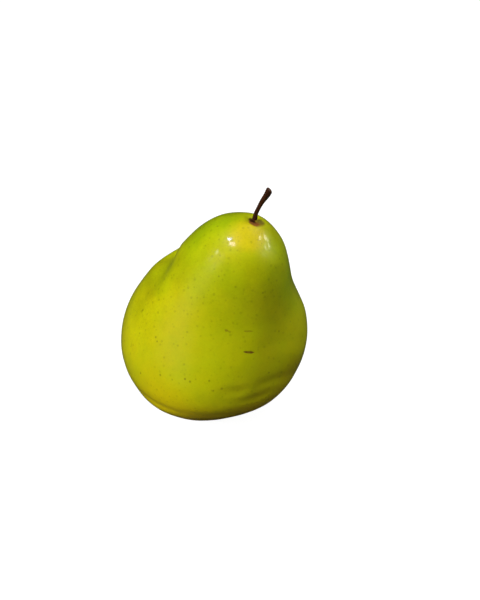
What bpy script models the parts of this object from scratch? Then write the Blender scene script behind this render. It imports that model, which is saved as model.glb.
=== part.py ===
# A pear that rests on a small flat spot round the basin under its base.
# +Z is up and the origin is the bottom centre of the box round the whole pear.
# +X is to the right and -Y is towards somebody who looks at the side with the two small scars.
# The pear leans to its right and a little to its front, and its neck bends further to the right.
# Sizes are in millimetres and angles in degrees. The finished meshes are in metres.

import bpy
import numpy as np

MM = 0.001

# Where the middle of the base stands, which centres the box round the pear on the origin
BASE_AT = (-1.05, 2.05)

# Fruit: (radius, height) along the core, from the foot of the stem to the middle of the basin
PROFILE = (
    (0.0, 93.2),
    (6.2, 91.1),
    (15.0, 84.8),
    (21.3, 75.2),
    (25.4, 64.6),
    (30.7, 52.0),
    (37.0, 36.0),
    (37.7, 21.0),
    (28.6, 8.5),
    (14.0, 0.0),
    (7.0, 3.0),
    (3.0, 6.0),
    (0.0, 6.5),
)
FRUIT_RINGS = 60
FRUIT_SIDES = 64
RING_CROWDING = 0.35
PROFILE_STEPS = 1200
CROWN_STEPS = 300

# How deep the fruit's own weight has pressed its base flat
FLAT_DEPTH = 0.3

# The core leans and then bends: tilts towards +X and +Y, over these heights along the core
LEAN = (10.2, -6.3)
LEAN_TOP = 40.0
BEND = (12.4, 4.6)
BEND_BOTTOM = 35.0
BEND_TOP = 85.0
CORE_STEPS_PER_MM = 4
SMALLEST_TILT = 1e-9

# Shallow lobes round the belly: (count, share of the radius, azimuth, height, spread)
LOBES = (
    (2, 0.022, 0.0, 30.0, 30.0),
    (3, 0.020, 48.0, 32.0, 26.0),
)

# Swellings, and waists with a negative rise: (azimuth, height, rise, spread round the fruit, spread along it)
SHOULDER_LEFT = (154.0, 45.5, 2.5, 22.0, 14.0)
SHOULDER_BEHIND_FURROW = (162.0, 57.0, 1.4, 12.0, 7.0)
SHOULDER_RIGHT = (-9.0, 55.5, 4.8, 20.0, 14.0)
BULGE_RIGHT = (-27.0, 42.5, 1.8, 11.5, 8.0)
BELLY_FRONT = (-99.0, 29.0, 1.8, 16.5, 16.5)
BASE_LEFT = (224.0, 3.5, 3.6, 20.0, 12.0)
BASE_RIGHT = (-8.0, 16.0, -4.5, 20.0, 12.0)
WAIST_LEFT = (-110.0, 56.0, -1.3, 15.0, 15.0)
WAIST_RIGHT = (-81.0, 57.0, -1.45, 13.0, 13.0)
BELLY_PATCH = (-76.0, 25.5, 0.3, 5.0, 3.0)
SWELLINGS = (
    SHOULDER_LEFT,
    SHOULDER_BEHIND_FURROW,
    SHOULDER_RIGHT,
    BULGE_RIGHT,
    BELLY_FRONT,
    BASE_LEFT,
    BASE_RIGHT,
    WAIST_LEFT,
    WAIST_RIGHT,
    BELLY_PATCH,
)

# Hollows that run along the skin: points of (azimuth, height, depth, half width)
FURROW_LEFT = (
    (143.0, 68.0, 0.5, 5.1),
    (152.0, 64.3, 2.3, 4.3),
    (159.0, 61.0, 3.7, 4.3),
    (174.0, 60.0, 2.9, 5.0),
    (185.0, 57.0, 1.7, 5.5),
    (185.0, 52.5, 1.35, 7.5),
    (187.0, 45.0, 0.4, 9.0),
    (187.0, 38.0, 0.0, 10.0),
)
VALLEY_RIGHT = (
    (26.0, 70.0, 0.0, 10.0),
    (9.0, 69.0, 0.7, 10.0),
    (-12.5, 66.0, 0.5, 10.0),
    (-25.0, 61.0, 1.1, 10.0),
    (-36.5, 57.5, 2.1, 10.0),
    (-43.5, 50.5, 1.75, 10.0),
    (-52.0, 42.5, 0.8, 10.0),
    (-56.0, 34.0, 0.0, 10.0),
)
DENTS_LOW_RIGHT = (
    (-89.0, 33.0, 0.0, 2.4),
    (-80.0, 33.4, 0.46, 2.1),
    (-74.0, 33.6, 0.42, 2.1),
    (-66.0, 34.2, 0.1, 2.4),
    (-57.0, 35.0, 0.46, 2.5),
    (-45.0, 34.8, 0.5, 2.6),
    (-34.0, 33.0, 0.24, 3.0),
    (-25.0, 31.0, 0.0, 3.2),
)
DENT_UNDER_THEM = (
    (-79.0, 27.8, 0.0, 2.5),
    (-70.0, 28.0, 0.4, 2.4),
    (-60.0, 28.6, 0.46, 2.6),
    (-50.0, 29.6, 0.2, 2.8),
    (-41.0, 30.0, 0.0, 3.0),
)
CREASE_LOW_LEFT = (
    (-152.0, 14.5, 0.0, 2.0),
    (-140.0, 14.8, 0.4, 2.0),
    (-126.0, 14.3, 0.5, 2.2),
    (-112.0, 14.0, 0.3, 2.6),
    (-98.0, 16.0, 0.22, 2.6),
    (-84.0, 17.3, 0.26, 2.6),
    (-68.0, 16.5, 0.12, 2.8),
    (-54.0, 15.0, 0.0, 3.0),
)
HOLLOWS = (FURROW_LEFT, VALLEY_RIGHT, DENTS_LOW_RIGHT, DENT_UNDER_THEM, CREASE_LOW_LEFT)
HOLLOW_STEPS = 28
FORM_FADE_RADIUS = 14.0
NARROWEST_GIRTH = 12.0

# The small pit that the stem stands in, whose middle lies a little to the left of the core's end
PIT_LEFT = 1.0
PIT_DEPTH = 2.4
PIT_RADIUS = 3.6
CROWN_BOTTOM = 40.0

# Stem: its middle line as (to the right, up) from the bottom of the pit, starting above a small gap
STEM_LINE = (
    (0.0, 0.4),
    (0.5, 3.2),
    (1.5, 5.7),
    (2.95, 8.6),
    (4.8, 11.6),
    (6.1, 14.4),
)
STEM_RADIUS = 0.88
STEM_FOOT_FLARE = 0.22
STEM_FOOT_REACH = 2.4
STEM_TIP_FLARE = 0.58
STEM_TIP_REACH = 6.0
STEM_TIP_SLANT = 0.35
STEM_SLANT_REACH = 3.0
STEM_END_ROUNDING = 0.7
STEM_LINE_STEPS = 200
STEM_END_RINGS = 4
STEM_RINGS = 22
STEM_SIDES = 20

# Calyx: five dried sepals round a hub, in the basin under the base, with a small gap to the skin
SEPAL_COUNT = 5
SEPAL_TURN = 28.0
CALYX_HUB_RADIUS = 2.0
SEPAL_LENGTH = 4.0
SEPAL_POINT = 1.5
SEPAL_THICKNESS = 0.6
CALYX_HUB_THICKNESS = 1.5
CALYX_HUB_SPREAD = 1.6
SEPAL_CURL = 0.9
CALYX_CLEARANCE = 0.45
CALYX_EDGE_SHARPNESS = 6
CALYX_RINGS = 9
CALYX_SIDES = 60

# Colours are linear
SKIN_COLOUR = (0.51, 0.52, 0.008, 1.0)
STEM_COLOUR = (0.070, 0.022, 0.008, 1.0)
CALYX_COLOUR = (0.095, 0.042, 0.016, 1.0)
SKIN_ROUGHNESS = 0.35
STEM_ROUGHNESS = 0.6
CALYX_ROUGHNESS = 0.85


def smooth(value):
    """Rises from 0 to 1 with no corner, as value goes from 0 to 1."""
    value = np.clip(value, 0.0, 1.0)
    return value * value * (3.0 - 2.0 * value)


def turn_between(first, second):
    """The angle from second to first, in radians, the short way round."""
    return (first - second + np.pi) % (2.0 * np.pi) - np.pi


def profile_points():
    """Finely spaced points of the profile, on a smooth closed curve of the profile and its mirror image."""
    half = np.array(PROFILE)
    loop = np.vstack([half, (half * (-1.0, 1.0))[-2:0:-1]])
    count = len(loop)
    index = np.arange(count)
    matrix = np.zeros((count, count))
    matrix[index, index] = 4.0
    matrix[index, (index - 1) % count] = 1.0
    matrix[index, (index + 1) % count] = 1.0
    right_side = 3.0 * (np.roll(loop, -1, axis=0) - np.roll(loop, 1, axis=0))
    slopes = np.linalg.solve(matrix, right_side)
    place = np.linspace(0.0, len(half) - 1.0, PROFILE_STEPS)
    start = np.minimum(place.astype(int), len(half) - 2)
    part = (place - start)[:, None]
    near = loop[start]
    far = loop[start + 1]
    near_share = 2.0 * part**3 - 3.0 * part**2 + 1.0
    near_slope_share = part**3 - 2.0 * part**2 + part
    far_slope_share = part**3 - part**2
    return (
        near_share * near
        + (1.0 - near_share) * far
        + near_slope_share * slopes[start]
        + far_slope_share * slopes[start + 1]
    )


def profile_rings(count):
    """(radius, height) of each ring, spaced along the profile and closer together near both ends."""
    points = profile_points()
    steps = np.hypot(*np.diff(points, axis=0).T)
    run = np.concatenate([[0.0], np.cumsum(steps)])
    even = np.linspace(0.0, 1.0, count)
    place = even - RING_CROWDING * np.sin(2.0 * np.pi * even) / (2.0 * np.pi)
    radius = np.interp(place * run[-1], run, points[:, 0])
    height = np.interp(place * run[-1], run, points[:, 1])
    radius[0] = 0.0
    radius[-1] = 0.0
    return radius, height


def curve_points(points, steps):
    """Evenly stepped points of a smooth curve through the given points."""
    points = np.array(points)
    before = 2.0 * points[0] - points[1]
    after = 2.0 * points[-1] - points[-2]
    ends = np.vstack([before, points, after])
    place = np.linspace(0.0, len(points) - 1.0, steps)
    start = np.minimum(place.astype(int), len(points) - 2)
    part = (place - start)[:, None]
    a, b, c, d = ends[start], ends[start + 1], ends[start + 2], ends[start + 3]
    straight = (c - a) * part
    bent = (2.0 * a - 5.0 * b + 4.0 * c - d) * part**2
    twisted = (3.0 * b - a - 3.0 * c + d) * part**3
    return 0.5 * (2.0 * b + straight + bent + twisted)


def hollow_depth(azimuth, girth, height, hollow):
    """Depth of one hollow at each point of the skin."""
    deepest = np.zeros_like(height)
    points = curve_points(hollow, HOLLOW_STEPS)
    for near, far in zip(points[:-1], points[1:]):
        across = turn_between(azimuth, np.radians(near[0])) * girth
        along = height - near[1]
        step_across = np.radians(far[0] - near[0]) * girth
        step_along = far[1] - near[1]
        length_squared = step_across**2 + step_along**2
        share = (across * step_across + along * step_along) / length_squared
        share = np.clip(share, 0.0, 1.0)
        distance = np.hypot(across - share * step_across, along - share * step_along)
        depth = near[2] + (far[2] - near[2]) * share
        width = near[3] + (far[3] - near[3]) * share
        deepest = np.maximum(deepest, depth * np.exp(-((distance / width) ** 2)))
    return deepest


def core_tilts(height):
    """Tilts of the core towards +X and +Y at these heights, in radians."""
    leaning = smooth(height / LEAN_TOP)
    bending = smooth((height - BEND_BOTTOM) / (BEND_TOP - BEND_BOTTOM))
    tilt_x = np.radians(LEAN[0] * leaning + BEND[0] * bending)
    tilt_y = np.radians(LEAN[1] * leaning + BEND[1] * bending)
    return tilt_x, tilt_y


def core_places(height):
    """Middle points of the core at these heights along it."""
    top = PROFILE[0][1]
    steps = np.linspace(0.0, top, CORE_STEPS_PER_MM * int(top))
    tilt_x, tilt_y = core_tilts(steps)
    tilt = np.maximum(np.hypot(tilt_x, tilt_y), SMALLEST_TILT)
    direction = np.stack(
        [np.sin(tilt) * tilt_x / tilt, np.sin(tilt) * tilt_y / tilt, np.cos(tilt)],
        axis=1,
    )
    middles = 0.5 * (direction[1:] + direction[:-1]) * (steps[1] - steps[0])
    places = np.vstack([np.zeros(3), np.cumsum(middles, axis=0)])
    return np.stack([np.interp(height, steps, places[:, k]) for k in range(3)], axis=-1)


def place_on_core(radius, azimuth, height):
    """Points at these radii and azimuths round the leaning and bent core."""
    tilt_x, tilt_y = core_tilts(height)
    tilt = np.maximum(np.hypot(tilt_x, tilt_y), SMALLEST_TILT)
    towards_x = tilt_x / tilt
    towards_y = tilt_y / tilt
    across_x = radius * np.cos(azimuth)
    across_y = radius * np.sin(azimuth)
    downhill = across_x * towards_x + across_y * towards_y
    shortening = (np.cos(tilt) - 1.0) * downhill
    offset = np.stack(
        [
            across_x + shortening * towards_x,
            across_y + shortening * towards_y,
            -np.sin(tilt) * downhill,
        ],
        axis=-1,
    )
    return core_places(height) + offset


def skin_points(plain, azimuth, height):
    """Points of the fruit's skin, from their plain radius, azimuth and height along the core."""
    girth = np.maximum(plain, NARROWEST_GIRTH)
    fade = smooth(plain / FORM_FADE_RADIUS)
    radius = plain.copy()
    for count, share, phase, middle, spread in LOBES:
        wave = np.cos(count * (azimuth - np.radians(phase)))
        radius += plain * share * wave * np.exp(-(((height - middle) / spread) ** 2))
    for towards, middle, rise, around, along in SWELLINGS:
        across = turn_between(azimuth, np.radians(towards)) * girth
        nearness = (across / around) ** 2 + ((height - middle) / along) ** 2
        radius += rise * np.exp(-nearness) * fade
    for hollow in HOLLOWS:
        radius -= hollow_depth(azimuth, girth, height, hollow) * fade

    to_pit = np.hypot(plain * np.cos(azimuth) + PIT_LEFT, plain * np.sin(azimuth))
    pit = PIT_DEPTH * np.exp(-((to_pit / PIT_RADIUS) ** 2))
    return place_on_core(radius, azimuth, height - np.where(height > CROWN_BOTTOM, pit, 0.0))


def fruit_rings():
    """Points of the fruit's skin, ring by ring from the crown to the basin, and the bottom of the pit."""
    ring_radius, ring_height = profile_rings(FRUIT_RINGS)
    turns = np.linspace(0.0, 2.0 * np.pi, FRUIT_SIDES, endpoint=False)
    plain = np.repeat(ring_radius[:, None], FRUIT_SIDES, axis=1)
    height = np.repeat(ring_height[:, None], FRUIT_SIDES, axis=1)
    azimuth = np.repeat(turns[None, :], FRUIT_RINGS, axis=0)
    points = skin_points(plain, azimuth, height)
    foot = points[..., 2].min() + FLAT_DEPTH
    points[..., 2] = np.maximum(points[..., 2] - foot, 0.0)

    crown_radius, crown_height = profile_points()[:CROWN_STEPS].T
    pit_height = np.interp(PIT_LEFT, crown_radius, crown_height)
    pit_bottom = skin_points(np.array([PIT_LEFT]), np.array([np.pi]), np.array([pit_height]))[0]
    pit_bottom[2] -= foot
    return points, pit_bottom


def stem_radius(run, length):
    """Radius of the stem at these distances along it: flared at both ends and rounded off."""
    foot = STEM_FOOT_FLARE * np.exp(-((run / STEM_FOOT_REACH) ** 2))
    tip = STEM_TIP_FLARE * np.exp(-(((length - run) / STEM_TIP_REACH) ** 2))
    to_end = np.minimum(run, length - run)
    missing = np.clip(1.0 - to_end / STEM_END_ROUNDING, 0.0, 1.0)
    return (STEM_RADIUS + foot + tip) * np.sqrt(1.0 - missing**2)


def stem_rings():
    """Points of the stem, ring by ring from its foot to its tip, measured from the bottom of the pit."""
    line = curve_points(STEM_LINE, STEM_LINE_STEPS)
    steps = np.hypot(*np.diff(line, axis=0).T)
    run = np.concatenate([[0.0], np.cumsum(steps)])
    length = run[-1]
    quarter = np.linspace(0.0, np.pi / 2.0, STEM_END_RINGS, endpoint=False)
    rounding = STEM_END_ROUNDING * (1.0 - np.cos(quarter))
    middle = np.linspace(STEM_END_ROUNDING, length - STEM_END_ROUNDING, STEM_RINGS)
    places = np.concatenate([rounding, middle, length - rounding[::-1]])

    centre_x = np.interp(places, run, line[:, 0])
    centre_z = np.interp(places, run, line[:, 1])
    heading = np.arctan2(np.gradient(centre_x, places), np.gradient(centre_z, places))
    radius = stem_radius(places, length)
    slant = STEM_TIP_SLANT * np.exp(-(((length - places) / STEM_SLANT_REACH) ** 2))
    turns = np.linspace(0.0, 2.0 * np.pi, STEM_SIDES, endpoint=False)
    rightwards = radius[:, None] * np.cos(turns)
    backwards = radius[:, None] * np.sin(turns)
    forwards = -slant[:, None] * rightwards
    sine = np.sin(heading)[:, None]
    cosine = np.cos(heading)[:, None]
    x = centre_x[:, None] + rightwards * cosine + forwards * sine
    z = centre_z[:, None] - rightwards * sine + forwards * cosine
    return np.stack([x, backwards, z], axis=-1)


def basin_height(radius):
    """Height of the basin's plain profile above the spot that the pear rests on."""
    points = profile_points()
    basin = points[points[:, 1].argmin() :]
    return np.interp(radius, basin[::-1, 0], basin[::-1, 1]) - FLAT_DEPTH


def calyx_rings():
    """Points of the calyx, ring by ring from the middle of its top to the middle of its underside."""
    turns = np.linspace(0.0, 2.0 * np.pi, CALYX_SIDES, endpoint=False)
    wave = 0.5 + 0.5 * np.cos(SEPAL_COUNT * (turns - np.radians(SEPAL_TURN)))
    reach = CALYX_HUB_RADIUS + SEPAL_LENGTH * wave**SEPAL_POINT
    share = np.linspace(0.0, 1.0, CALYX_RINGS)
    radius = share[:, None] * reach
    longest = CALYX_HUB_RADIUS + SEPAL_LENGTH
    curl = SEPAL_CURL * (radius / longest) ** 2
    top = basin_height(radius) - CALYX_CLEARANCE - curl
    hub = (CALYX_HUB_THICKNESS - SEPAL_THICKNESS) * np.exp(-((radius / CALYX_HUB_SPREAD) ** 2))
    edge = np.sqrt(1.0 - share[:, None] ** CALYX_EDGE_SHARPNESS)
    bottom = top - (SEPAL_THICKNESS + hub) * edge
    x = radius * np.cos(turns)
    y = radius * np.sin(turns)
    upper = np.stack([x, y, top], axis=-1)
    lower = np.stack([x, y, bottom], axis=-1)
    return np.concatenate([upper, lower[-2::-1]])


def closed_mesh(name, rings, flip):
    """A closed mesh from rings of points, whose first and last rings are single points."""
    sides = rings.shape[1]
    between = rings[1:-1].reshape(-1, 3)
    points = np.vstack([rings[0, 0], between, rings[-1, 0]]) * MM
    last = len(points) - 1
    faces = []
    for i in range(sides):
        j = (i + 1) % sides
        faces.append((0, 1 + i, 1 + j))
        for ring in range(len(rings) - 3):
            near = 1 + ring * sides
            far = near + sides
            faces.append((near + i, far + i, far + j, near + j))
        rim = 1 + (len(rings) - 3) * sides
        faces.append((rim + i, last, rim + j))
    if flip:
        faces = [face[::-1] for face in faces]
    mesh = bpy.data.meshes.new(name)
    mesh.from_pydata(points.tolist(), [], faces)
    mesh.shade_smooth()
    mesh.update()
    return mesh


def material(name, colour, roughness):
    """A Principled material."""
    made = bpy.data.materials.new(name)
    made.use_nodes = True
    shader = made.node_tree.nodes["Principled BSDF"]
    shader.inputs["Base Color"].default_value = colour
    shader.inputs["Roughness"].default_value = roughness
    shader.inputs["Metallic"].default_value = 0.0
    made.diffuse_color = colour
    return made


def add_object(name, mesh, dressing, location, parent=None):
    """An object of this mesh at this place, in millimetres, on its parent."""
    made = bpy.data.objects.new(name, mesh)
    made.data.materials.append(dressing)
    made.location = [part * MM for part in location]
    made.parent = parent
    bpy.context.scene.collection.objects.link(made)
    return made


def main():
    for old in list(bpy.data.objects):
        bpy.data.objects.remove(old, do_unlink=True)

    skin = material("pear_skin", SKIN_COLOUR, SKIN_ROUGHNESS)
    wood = material("stem_wood", STEM_COLOUR, STEM_ROUGHNESS)
    dry = material("dried_calyx", CALYX_COLOUR, CALYX_ROUGHNESS)

    rings, pit_bottom = fruit_rings()
    fruit_mesh = closed_mesh("pear_fruit", rings, flip=False)
    fruit = add_object("pear_fruit", fruit_mesh, skin, (BASE_AT[0], BASE_AT[1], 0.0))

    stem_mesh = closed_mesh("pear_stem", stem_rings(), flip=True)
    add_object("pear_stem", stem_mesh, wood, pit_bottom, fruit)

    calyx_mesh = closed_mesh("pear_calyx", calyx_rings(), flip=False)
    add_object("pear_calyx", calyx_mesh, dry, (0.0, 0.0, 0.0), fruit)


main()
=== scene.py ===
"""A ripe yellow-green pear: fine skin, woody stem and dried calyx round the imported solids, in soft studio light.

Classes measure in millimetres and degrees. Meshes, lamps and the camera are placed in metres.
"""

import logging
import math
from collections.abc import Sequence
from dataclasses import dataclass
from enum import Enum
from functools import cached_property, reduce
from itertools import cycle

import bpy
import numpy as np
from mathutils import Matrix, Vector


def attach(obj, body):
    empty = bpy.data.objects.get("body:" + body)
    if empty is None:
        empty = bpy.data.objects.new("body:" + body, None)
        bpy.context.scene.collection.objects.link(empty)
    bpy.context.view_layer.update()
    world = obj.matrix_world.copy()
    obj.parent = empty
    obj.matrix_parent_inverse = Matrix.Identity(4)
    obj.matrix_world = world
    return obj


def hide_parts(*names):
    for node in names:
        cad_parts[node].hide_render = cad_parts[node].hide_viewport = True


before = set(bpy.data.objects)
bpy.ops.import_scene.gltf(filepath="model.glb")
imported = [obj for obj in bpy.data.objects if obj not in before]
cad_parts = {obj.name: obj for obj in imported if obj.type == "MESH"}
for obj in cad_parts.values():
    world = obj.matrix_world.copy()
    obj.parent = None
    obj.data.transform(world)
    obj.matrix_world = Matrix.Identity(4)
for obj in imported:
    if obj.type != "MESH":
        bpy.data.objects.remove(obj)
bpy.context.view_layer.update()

LOG = logging.getLogger("pear")
BODY = "root"
MM = 0.001
TURN = 2.0 * math.pi
TINY = 1e-9
WHITE = (1.0, 1.0, 1.0, 1.0)

Colour = tuple[float, float, float, float]
Socket = bpy.types.NodeSocket
Source = float | Sequence[float] | Socket


def smooth(value: np.ndarray | float) -> np.ndarray:
    """Rise from 0 to 1 with no corner.

    Args:
        value: Numbers, of which those below 0 and above 1 are held at the ends.

    Returns:
        The smoothed numbers, from 0 to 1.
    """
    value = np.clip(value, 0.0, 1.0)
    return value * value * (3.0 - 2.0 * value)


def turn_between(first: np.ndarray, second: float) -> np.ndarray:
    """Measure the angle from second to first the short way round.

    Args:
        first: Azimuths in radians.
        second: One azimuth in radians.

    Returns:
        Signed angles in radians.
    """
    return (first - second + np.pi) % TURN - np.pi


def curve_points(points: Sequence[Sequence[float]], steps: int) -> np.ndarray:
    """Run a smooth curve through the given points.

    Args:
        points: The points, of any number of coordinates.
        steps: How many points the curve gets.

    Returns:
        The curve's points, evenly stepped between the given ones.
    """
    given = np.array(points)
    before = 2.0 * given[0] - given[1]
    after = 2.0 * given[-1] - given[-2]
    ends = np.vstack([before, given, after])
    place = np.linspace(0.0, len(given) - 1.0, steps)
    start = np.minimum(place.astype(int), len(given) - 2)
    part = (place - start)[:, None]
    a, b, c, d = ends[start], ends[start + 1], ends[start + 2], ends[start + 3]
    straight = (c - a) * part
    bent = (2.0 * a - 5.0 * b + 4.0 * c - d) * part**2
    twisted = (3.0 * b - a - 3.0 * c + d) * part**3
    return 0.5 * (2.0 * b + straight + bent + twisted)


def grid_normals(points: np.ndarray) -> np.ndarray:
    """Find the outward directions of rings of points.

    Args:
        points: Points by ring and side, the rings running down and the sides anticlockwise from above.

    Returns:
        One unit vector for each point.
    """
    down = np.gradient(points, axis=0)
    round_it = np.roll(points, -1, axis=1) - np.roll(points, 1, axis=1)
    normals = np.cross(down, round_it)
    length = np.linalg.norm(normals, axis=-1, keepdims=True)
    return normals / np.maximum(length, TINY)


def ring_mesh(name: str, rings: np.ndarray, flip: bool = False) -> bpy.types.Mesh:
    """Close rings of points into one smooth mesh.

    Args:
        name: The mesh's name.
        rings: Points in millimetres by ring and side. The first and last rings are single points.
        flip: Whether the faces are turned round, for rings that run upwards.

    Returns:
        The mesh, in metres.
    """
    count, sides = rings.shape[:2]
    between = rings[1:-1].reshape(-1, 3)
    points = np.vstack([rings[0, 0], between, rings[-1, 0]]) * MM
    last = len(points) - 1
    side = np.arange(sides)
    following = (side + 1) % sides
    near = 1 + np.arange(count - 3)[:, None] * sides
    walls = np.stack([near + side, near + sides + side, near + sides + following, near + following], axis=-1)
    rim = 1 + (count - 3) * sides
    faces = [tuple(face) for face in walls.reshape(-1, 4).tolist()]
    faces += [(0, 1 + i, 1 + j) for i, j in zip(side.tolist(), following.tolist())]
    faces += [(rim + i, last, rim + j) for i, j in zip(side.tolist(), following.tolist())]
    if flip:
        faces = [face[::-1] for face in faces]
    mesh = bpy.data.meshes.new(name)
    mesh.from_pydata(points.tolist(), [], faces)
    mesh.shade_smooth()
    mesh.update()
    return mesh


@dataclass(frozen=True)
class Ripples:
    """Seeded plane waves that stand for the uneven growth of a surface."""

    shortest: float  # wavelength in millimetres
    longest: float  # wavelength in millimetres
    waves: int  # how many waves are added up
    seed: int  # seed of the random directions and phases

    def at(self, points: np.ndarray) -> np.ndarray:
        """Add up the waves.

        Args:
            points: Places in millimetres, with the coordinates in the last axis.

        Returns:
            Values from about 0 to 1, one for each place.
        """
        random = np.random.default_rng(self.seed)
        total = np.zeros(points.shape[:-1])
        for _ in range(self.waves):
            direction = random.normal(size=3)
            direction /= np.linalg.norm(direction)
            length = random.uniform(self.shortest, self.longest)
            total += np.sin(TURN * (points @ direction) / length + random.uniform(0.0, TURN))
        return np.clip(0.5 + total / (2.0 * math.sqrt(2.0 * self.waves)), 0.0, 1.0)


@dataclass(frozen=True)
class Lobe:
    """A shallow wave round the belly."""

    count: int  # number of crests round the fruit
    share: float  # its rise as a share of the radius
    azimuth: float  # direction of one crest
    height: float  # height along the core where it is strongest
    spread: float  # how far it spreads along the core


@dataclass(frozen=True)
class Swelling:
    """A soft rise of the skin, or a waist where its rise is negative."""

    azimuth: float  # direction of its middle
    height: float  # height of its middle along the core
    rise: float  # how far the skin stands out there
    around: float  # its spread round the fruit
    along: float  # its spread along the core


Hollow = tuple[tuple[float, float, float, float], ...]


@dataclass(frozen=True)
class PearForm:
    """The pear's skin as a formula: a turned profile on a core that leans and bends, the same as in the solids."""

    base_at: tuple[float, float] = (-1.05, 2.05)  # where the middle of the base stands
    # (radius, height) along the core, from the foot of the stem to the middle of the basin.
    profile: tuple[tuple[float, float], ...] = (
        (0.0, 93.2), (6.2, 91.1), (15.0, 84.8), (21.3, 75.2), (25.4, 64.6), (30.7, 52.0), (37.0, 36.0), (37.7, 21.0),
        (28.6, 8.5), (14.0, 0.0), (7.0, 3.0), (3.0, 6.0), (0.0, 6.5),
    )
    profile_steps: int = 1200  # points of the finely spaced profile
    solid_rings: int = 60  # rings of the solid, whose lowest point sets where the pear stands
    solid_sides: int = 64
    ring_crowding: float = 0.35  # how much closer the rings lie near both ends
    flat_depth: float = 0.3  # how deep the base is pressed flat
    lean: tuple[float, float] = (10.2, -6.3)  # tilts of the core towards +X and +Y at the height lean_top
    lean_top: float = 40.0
    bend: tuple[float, float] = (12.4, 4.6)  # more tilt, between the heights bend_bottom and bend_top
    bend_bottom: float = 35.0
    bend_top: float = 85.0
    lobes: tuple[Lobe, ...] = (
        Lobe(2, 0.022, 0.0, 30.0, 30.0), Lobe(3, 0.020, 48.0, 32.0, 26.0),
    )
    swellings: tuple[Swelling, ...] = (
        Swelling(154.0, 45.5, 2.5, 22.0, 14.0), Swelling(162.0, 57.0, 1.4, 12.0, 7.0),
        Swelling(-9.0, 55.5, 4.8, 20.0, 14.0), Swelling(-27.0, 42.5, 1.8, 11.5, 8.0),
        Swelling(-99.0, 29.0, 1.8, 16.5, 16.5), Swelling(224.0, 3.5, 3.6, 20.0, 12.0),
        Swelling(-8.0, 16.0, -4.5, 20.0, 12.0), Swelling(-110.0, 56.0, -1.3, 15.0, 15.0),
        Swelling(-81.0, 57.0, -1.45, 13.0, 13.0), Swelling(-76.0, 25.5, 0.3, 5.0, 3.0),
    )
    # Furrow where the neck meets the body on the left. This and the next four are hollows along the skin, as points
    # of (azimuth, height, depth, half width).
    furrow_left: Hollow = (
        (143.0, 68.0, 0.5, 5.1), (152.0, 64.3, 2.3, 4.3), (159.0, 61.0, 3.7, 4.3), (174.0, 60.0, 2.9, 5.0),
        (185.0, 57.0, 1.7, 5.5), (185.0, 52.5, 1.35, 7.5), (187.0, 45.0, 0.4, 9.0), (187.0, 38.0, 0.0, 10.0),
    )
    valley_right: Hollow = (
        (26.0, 70.0, 0.0, 10.0), (9.0, 69.0, 0.7, 10.0), (-12.5, 66.0, 0.5, 10.0), (-25.0, 61.0, 1.1, 10.0),
        (-36.5, 57.5, 2.1, 10.0), (-43.5, 50.5, 1.75, 10.0), (-52.0, 42.5, 0.8, 10.0), (-56.0, 34.0, 0.0, 10.0),
    )
    dents_low_right: Hollow = (
        (-89.0, 33.0, 0.0, 2.4), (-80.0, 33.4, 0.46, 2.1), (-74.0, 33.6, 0.42, 2.1), (-66.0, 34.2, 0.1, 2.4),
        (-57.0, 35.0, 0.46, 2.5), (-45.0, 34.8, 0.5, 2.6), (-34.0, 33.0, 0.24, 3.0), (-25.0, 31.0, 0.0, 3.2),
    )
    dent_under_them: Hollow = (
        (-79.0, 27.8, 0.0, 2.5), (-70.0, 28.0, 0.4, 2.4), (-60.0, 28.6, 0.46, 2.6), (-50.0, 29.6, 0.2, 2.8),
        (-41.0, 30.0, 0.0, 3.0),
    )
    # Crease above the base, from the left to the front.
    crease_low_left: Hollow = (
        (-152.0, 14.5, 0.0, 2.0), (-140.0, 14.8, 0.4, 2.0), (-126.0, 14.3, 0.5, 2.2), (-112.0, 14.0, 0.3, 2.6),
        (-98.0, 16.0, 0.22, 2.6), (-84.0, 17.3, 0.26, 2.6), (-68.0, 16.5, 0.12, 2.8), (-54.0, 15.0, 0.0, 3.0),
    )
    hollow_steps: int = 28  # points of a hollow's smoothed line
    fade_radius: float = 14.0  # radius within which the forms fade towards both ends
    narrowest_girth: float = 12.0  # least radius by which distances round the fruit are measured
    pit_left: float = 1.0  # how far the pit's middle lies to the left of the core's end
    pit_depth: float = 2.4  # depth of the small pit round the stem
    pit_radius: float = 3.6  # its radius
    crown_bottom: float = 40.0  # height above which a point belongs to the crown
    core_steps: int = 372  # steps by which the core's bend is added up

    @property
    def hollows(self) -> tuple[Hollow, ...]:
        """All hollows along the skin."""
        dents = (self.dents_low_right, self.dent_under_them, self.crease_low_left)
        return (self.furrow_left, self.valley_right, *dents)

    @cached_property
    def profile_curve(self) -> np.ndarray:
        """Run a smooth closed curve through the profile and its mirror image.

        Returns:
            Finely spaced (radius, height) points of the profile's own half.
        """
        half = np.array(self.profile)
        loop = np.vstack([half, (half * (-1.0, 1.0))[-2:0:-1]])
        index = np.arange(len(loop))
        matrix = np.zeros((len(loop), len(loop)))
        matrix[index, index] = 4.0
        matrix[index, (index - 1) % len(loop)] = 1.0
        matrix[index, (index + 1) % len(loop)] = 1.0
        slopes = np.linalg.solve(matrix, 3.0 * (np.roll(loop, -1, axis=0) - np.roll(loop, 1, axis=0)))
        place = np.linspace(0.0, len(half) - 1.0, self.profile_steps)
        start = np.minimum(place.astype(int), len(half) - 2)
        part = (place - start)[:, None]
        near_share = 2.0 * part**3 - 3.0 * part**2 + 1.0
        near_slope = (part**3 - 2.0 * part**2 + part) * slopes[start]
        far_slope = (part**3 - part**2) * slopes[start + 1]
        return near_share * loop[start] + (1.0 - near_share) * loop[start + 1] + near_slope + far_slope

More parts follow.
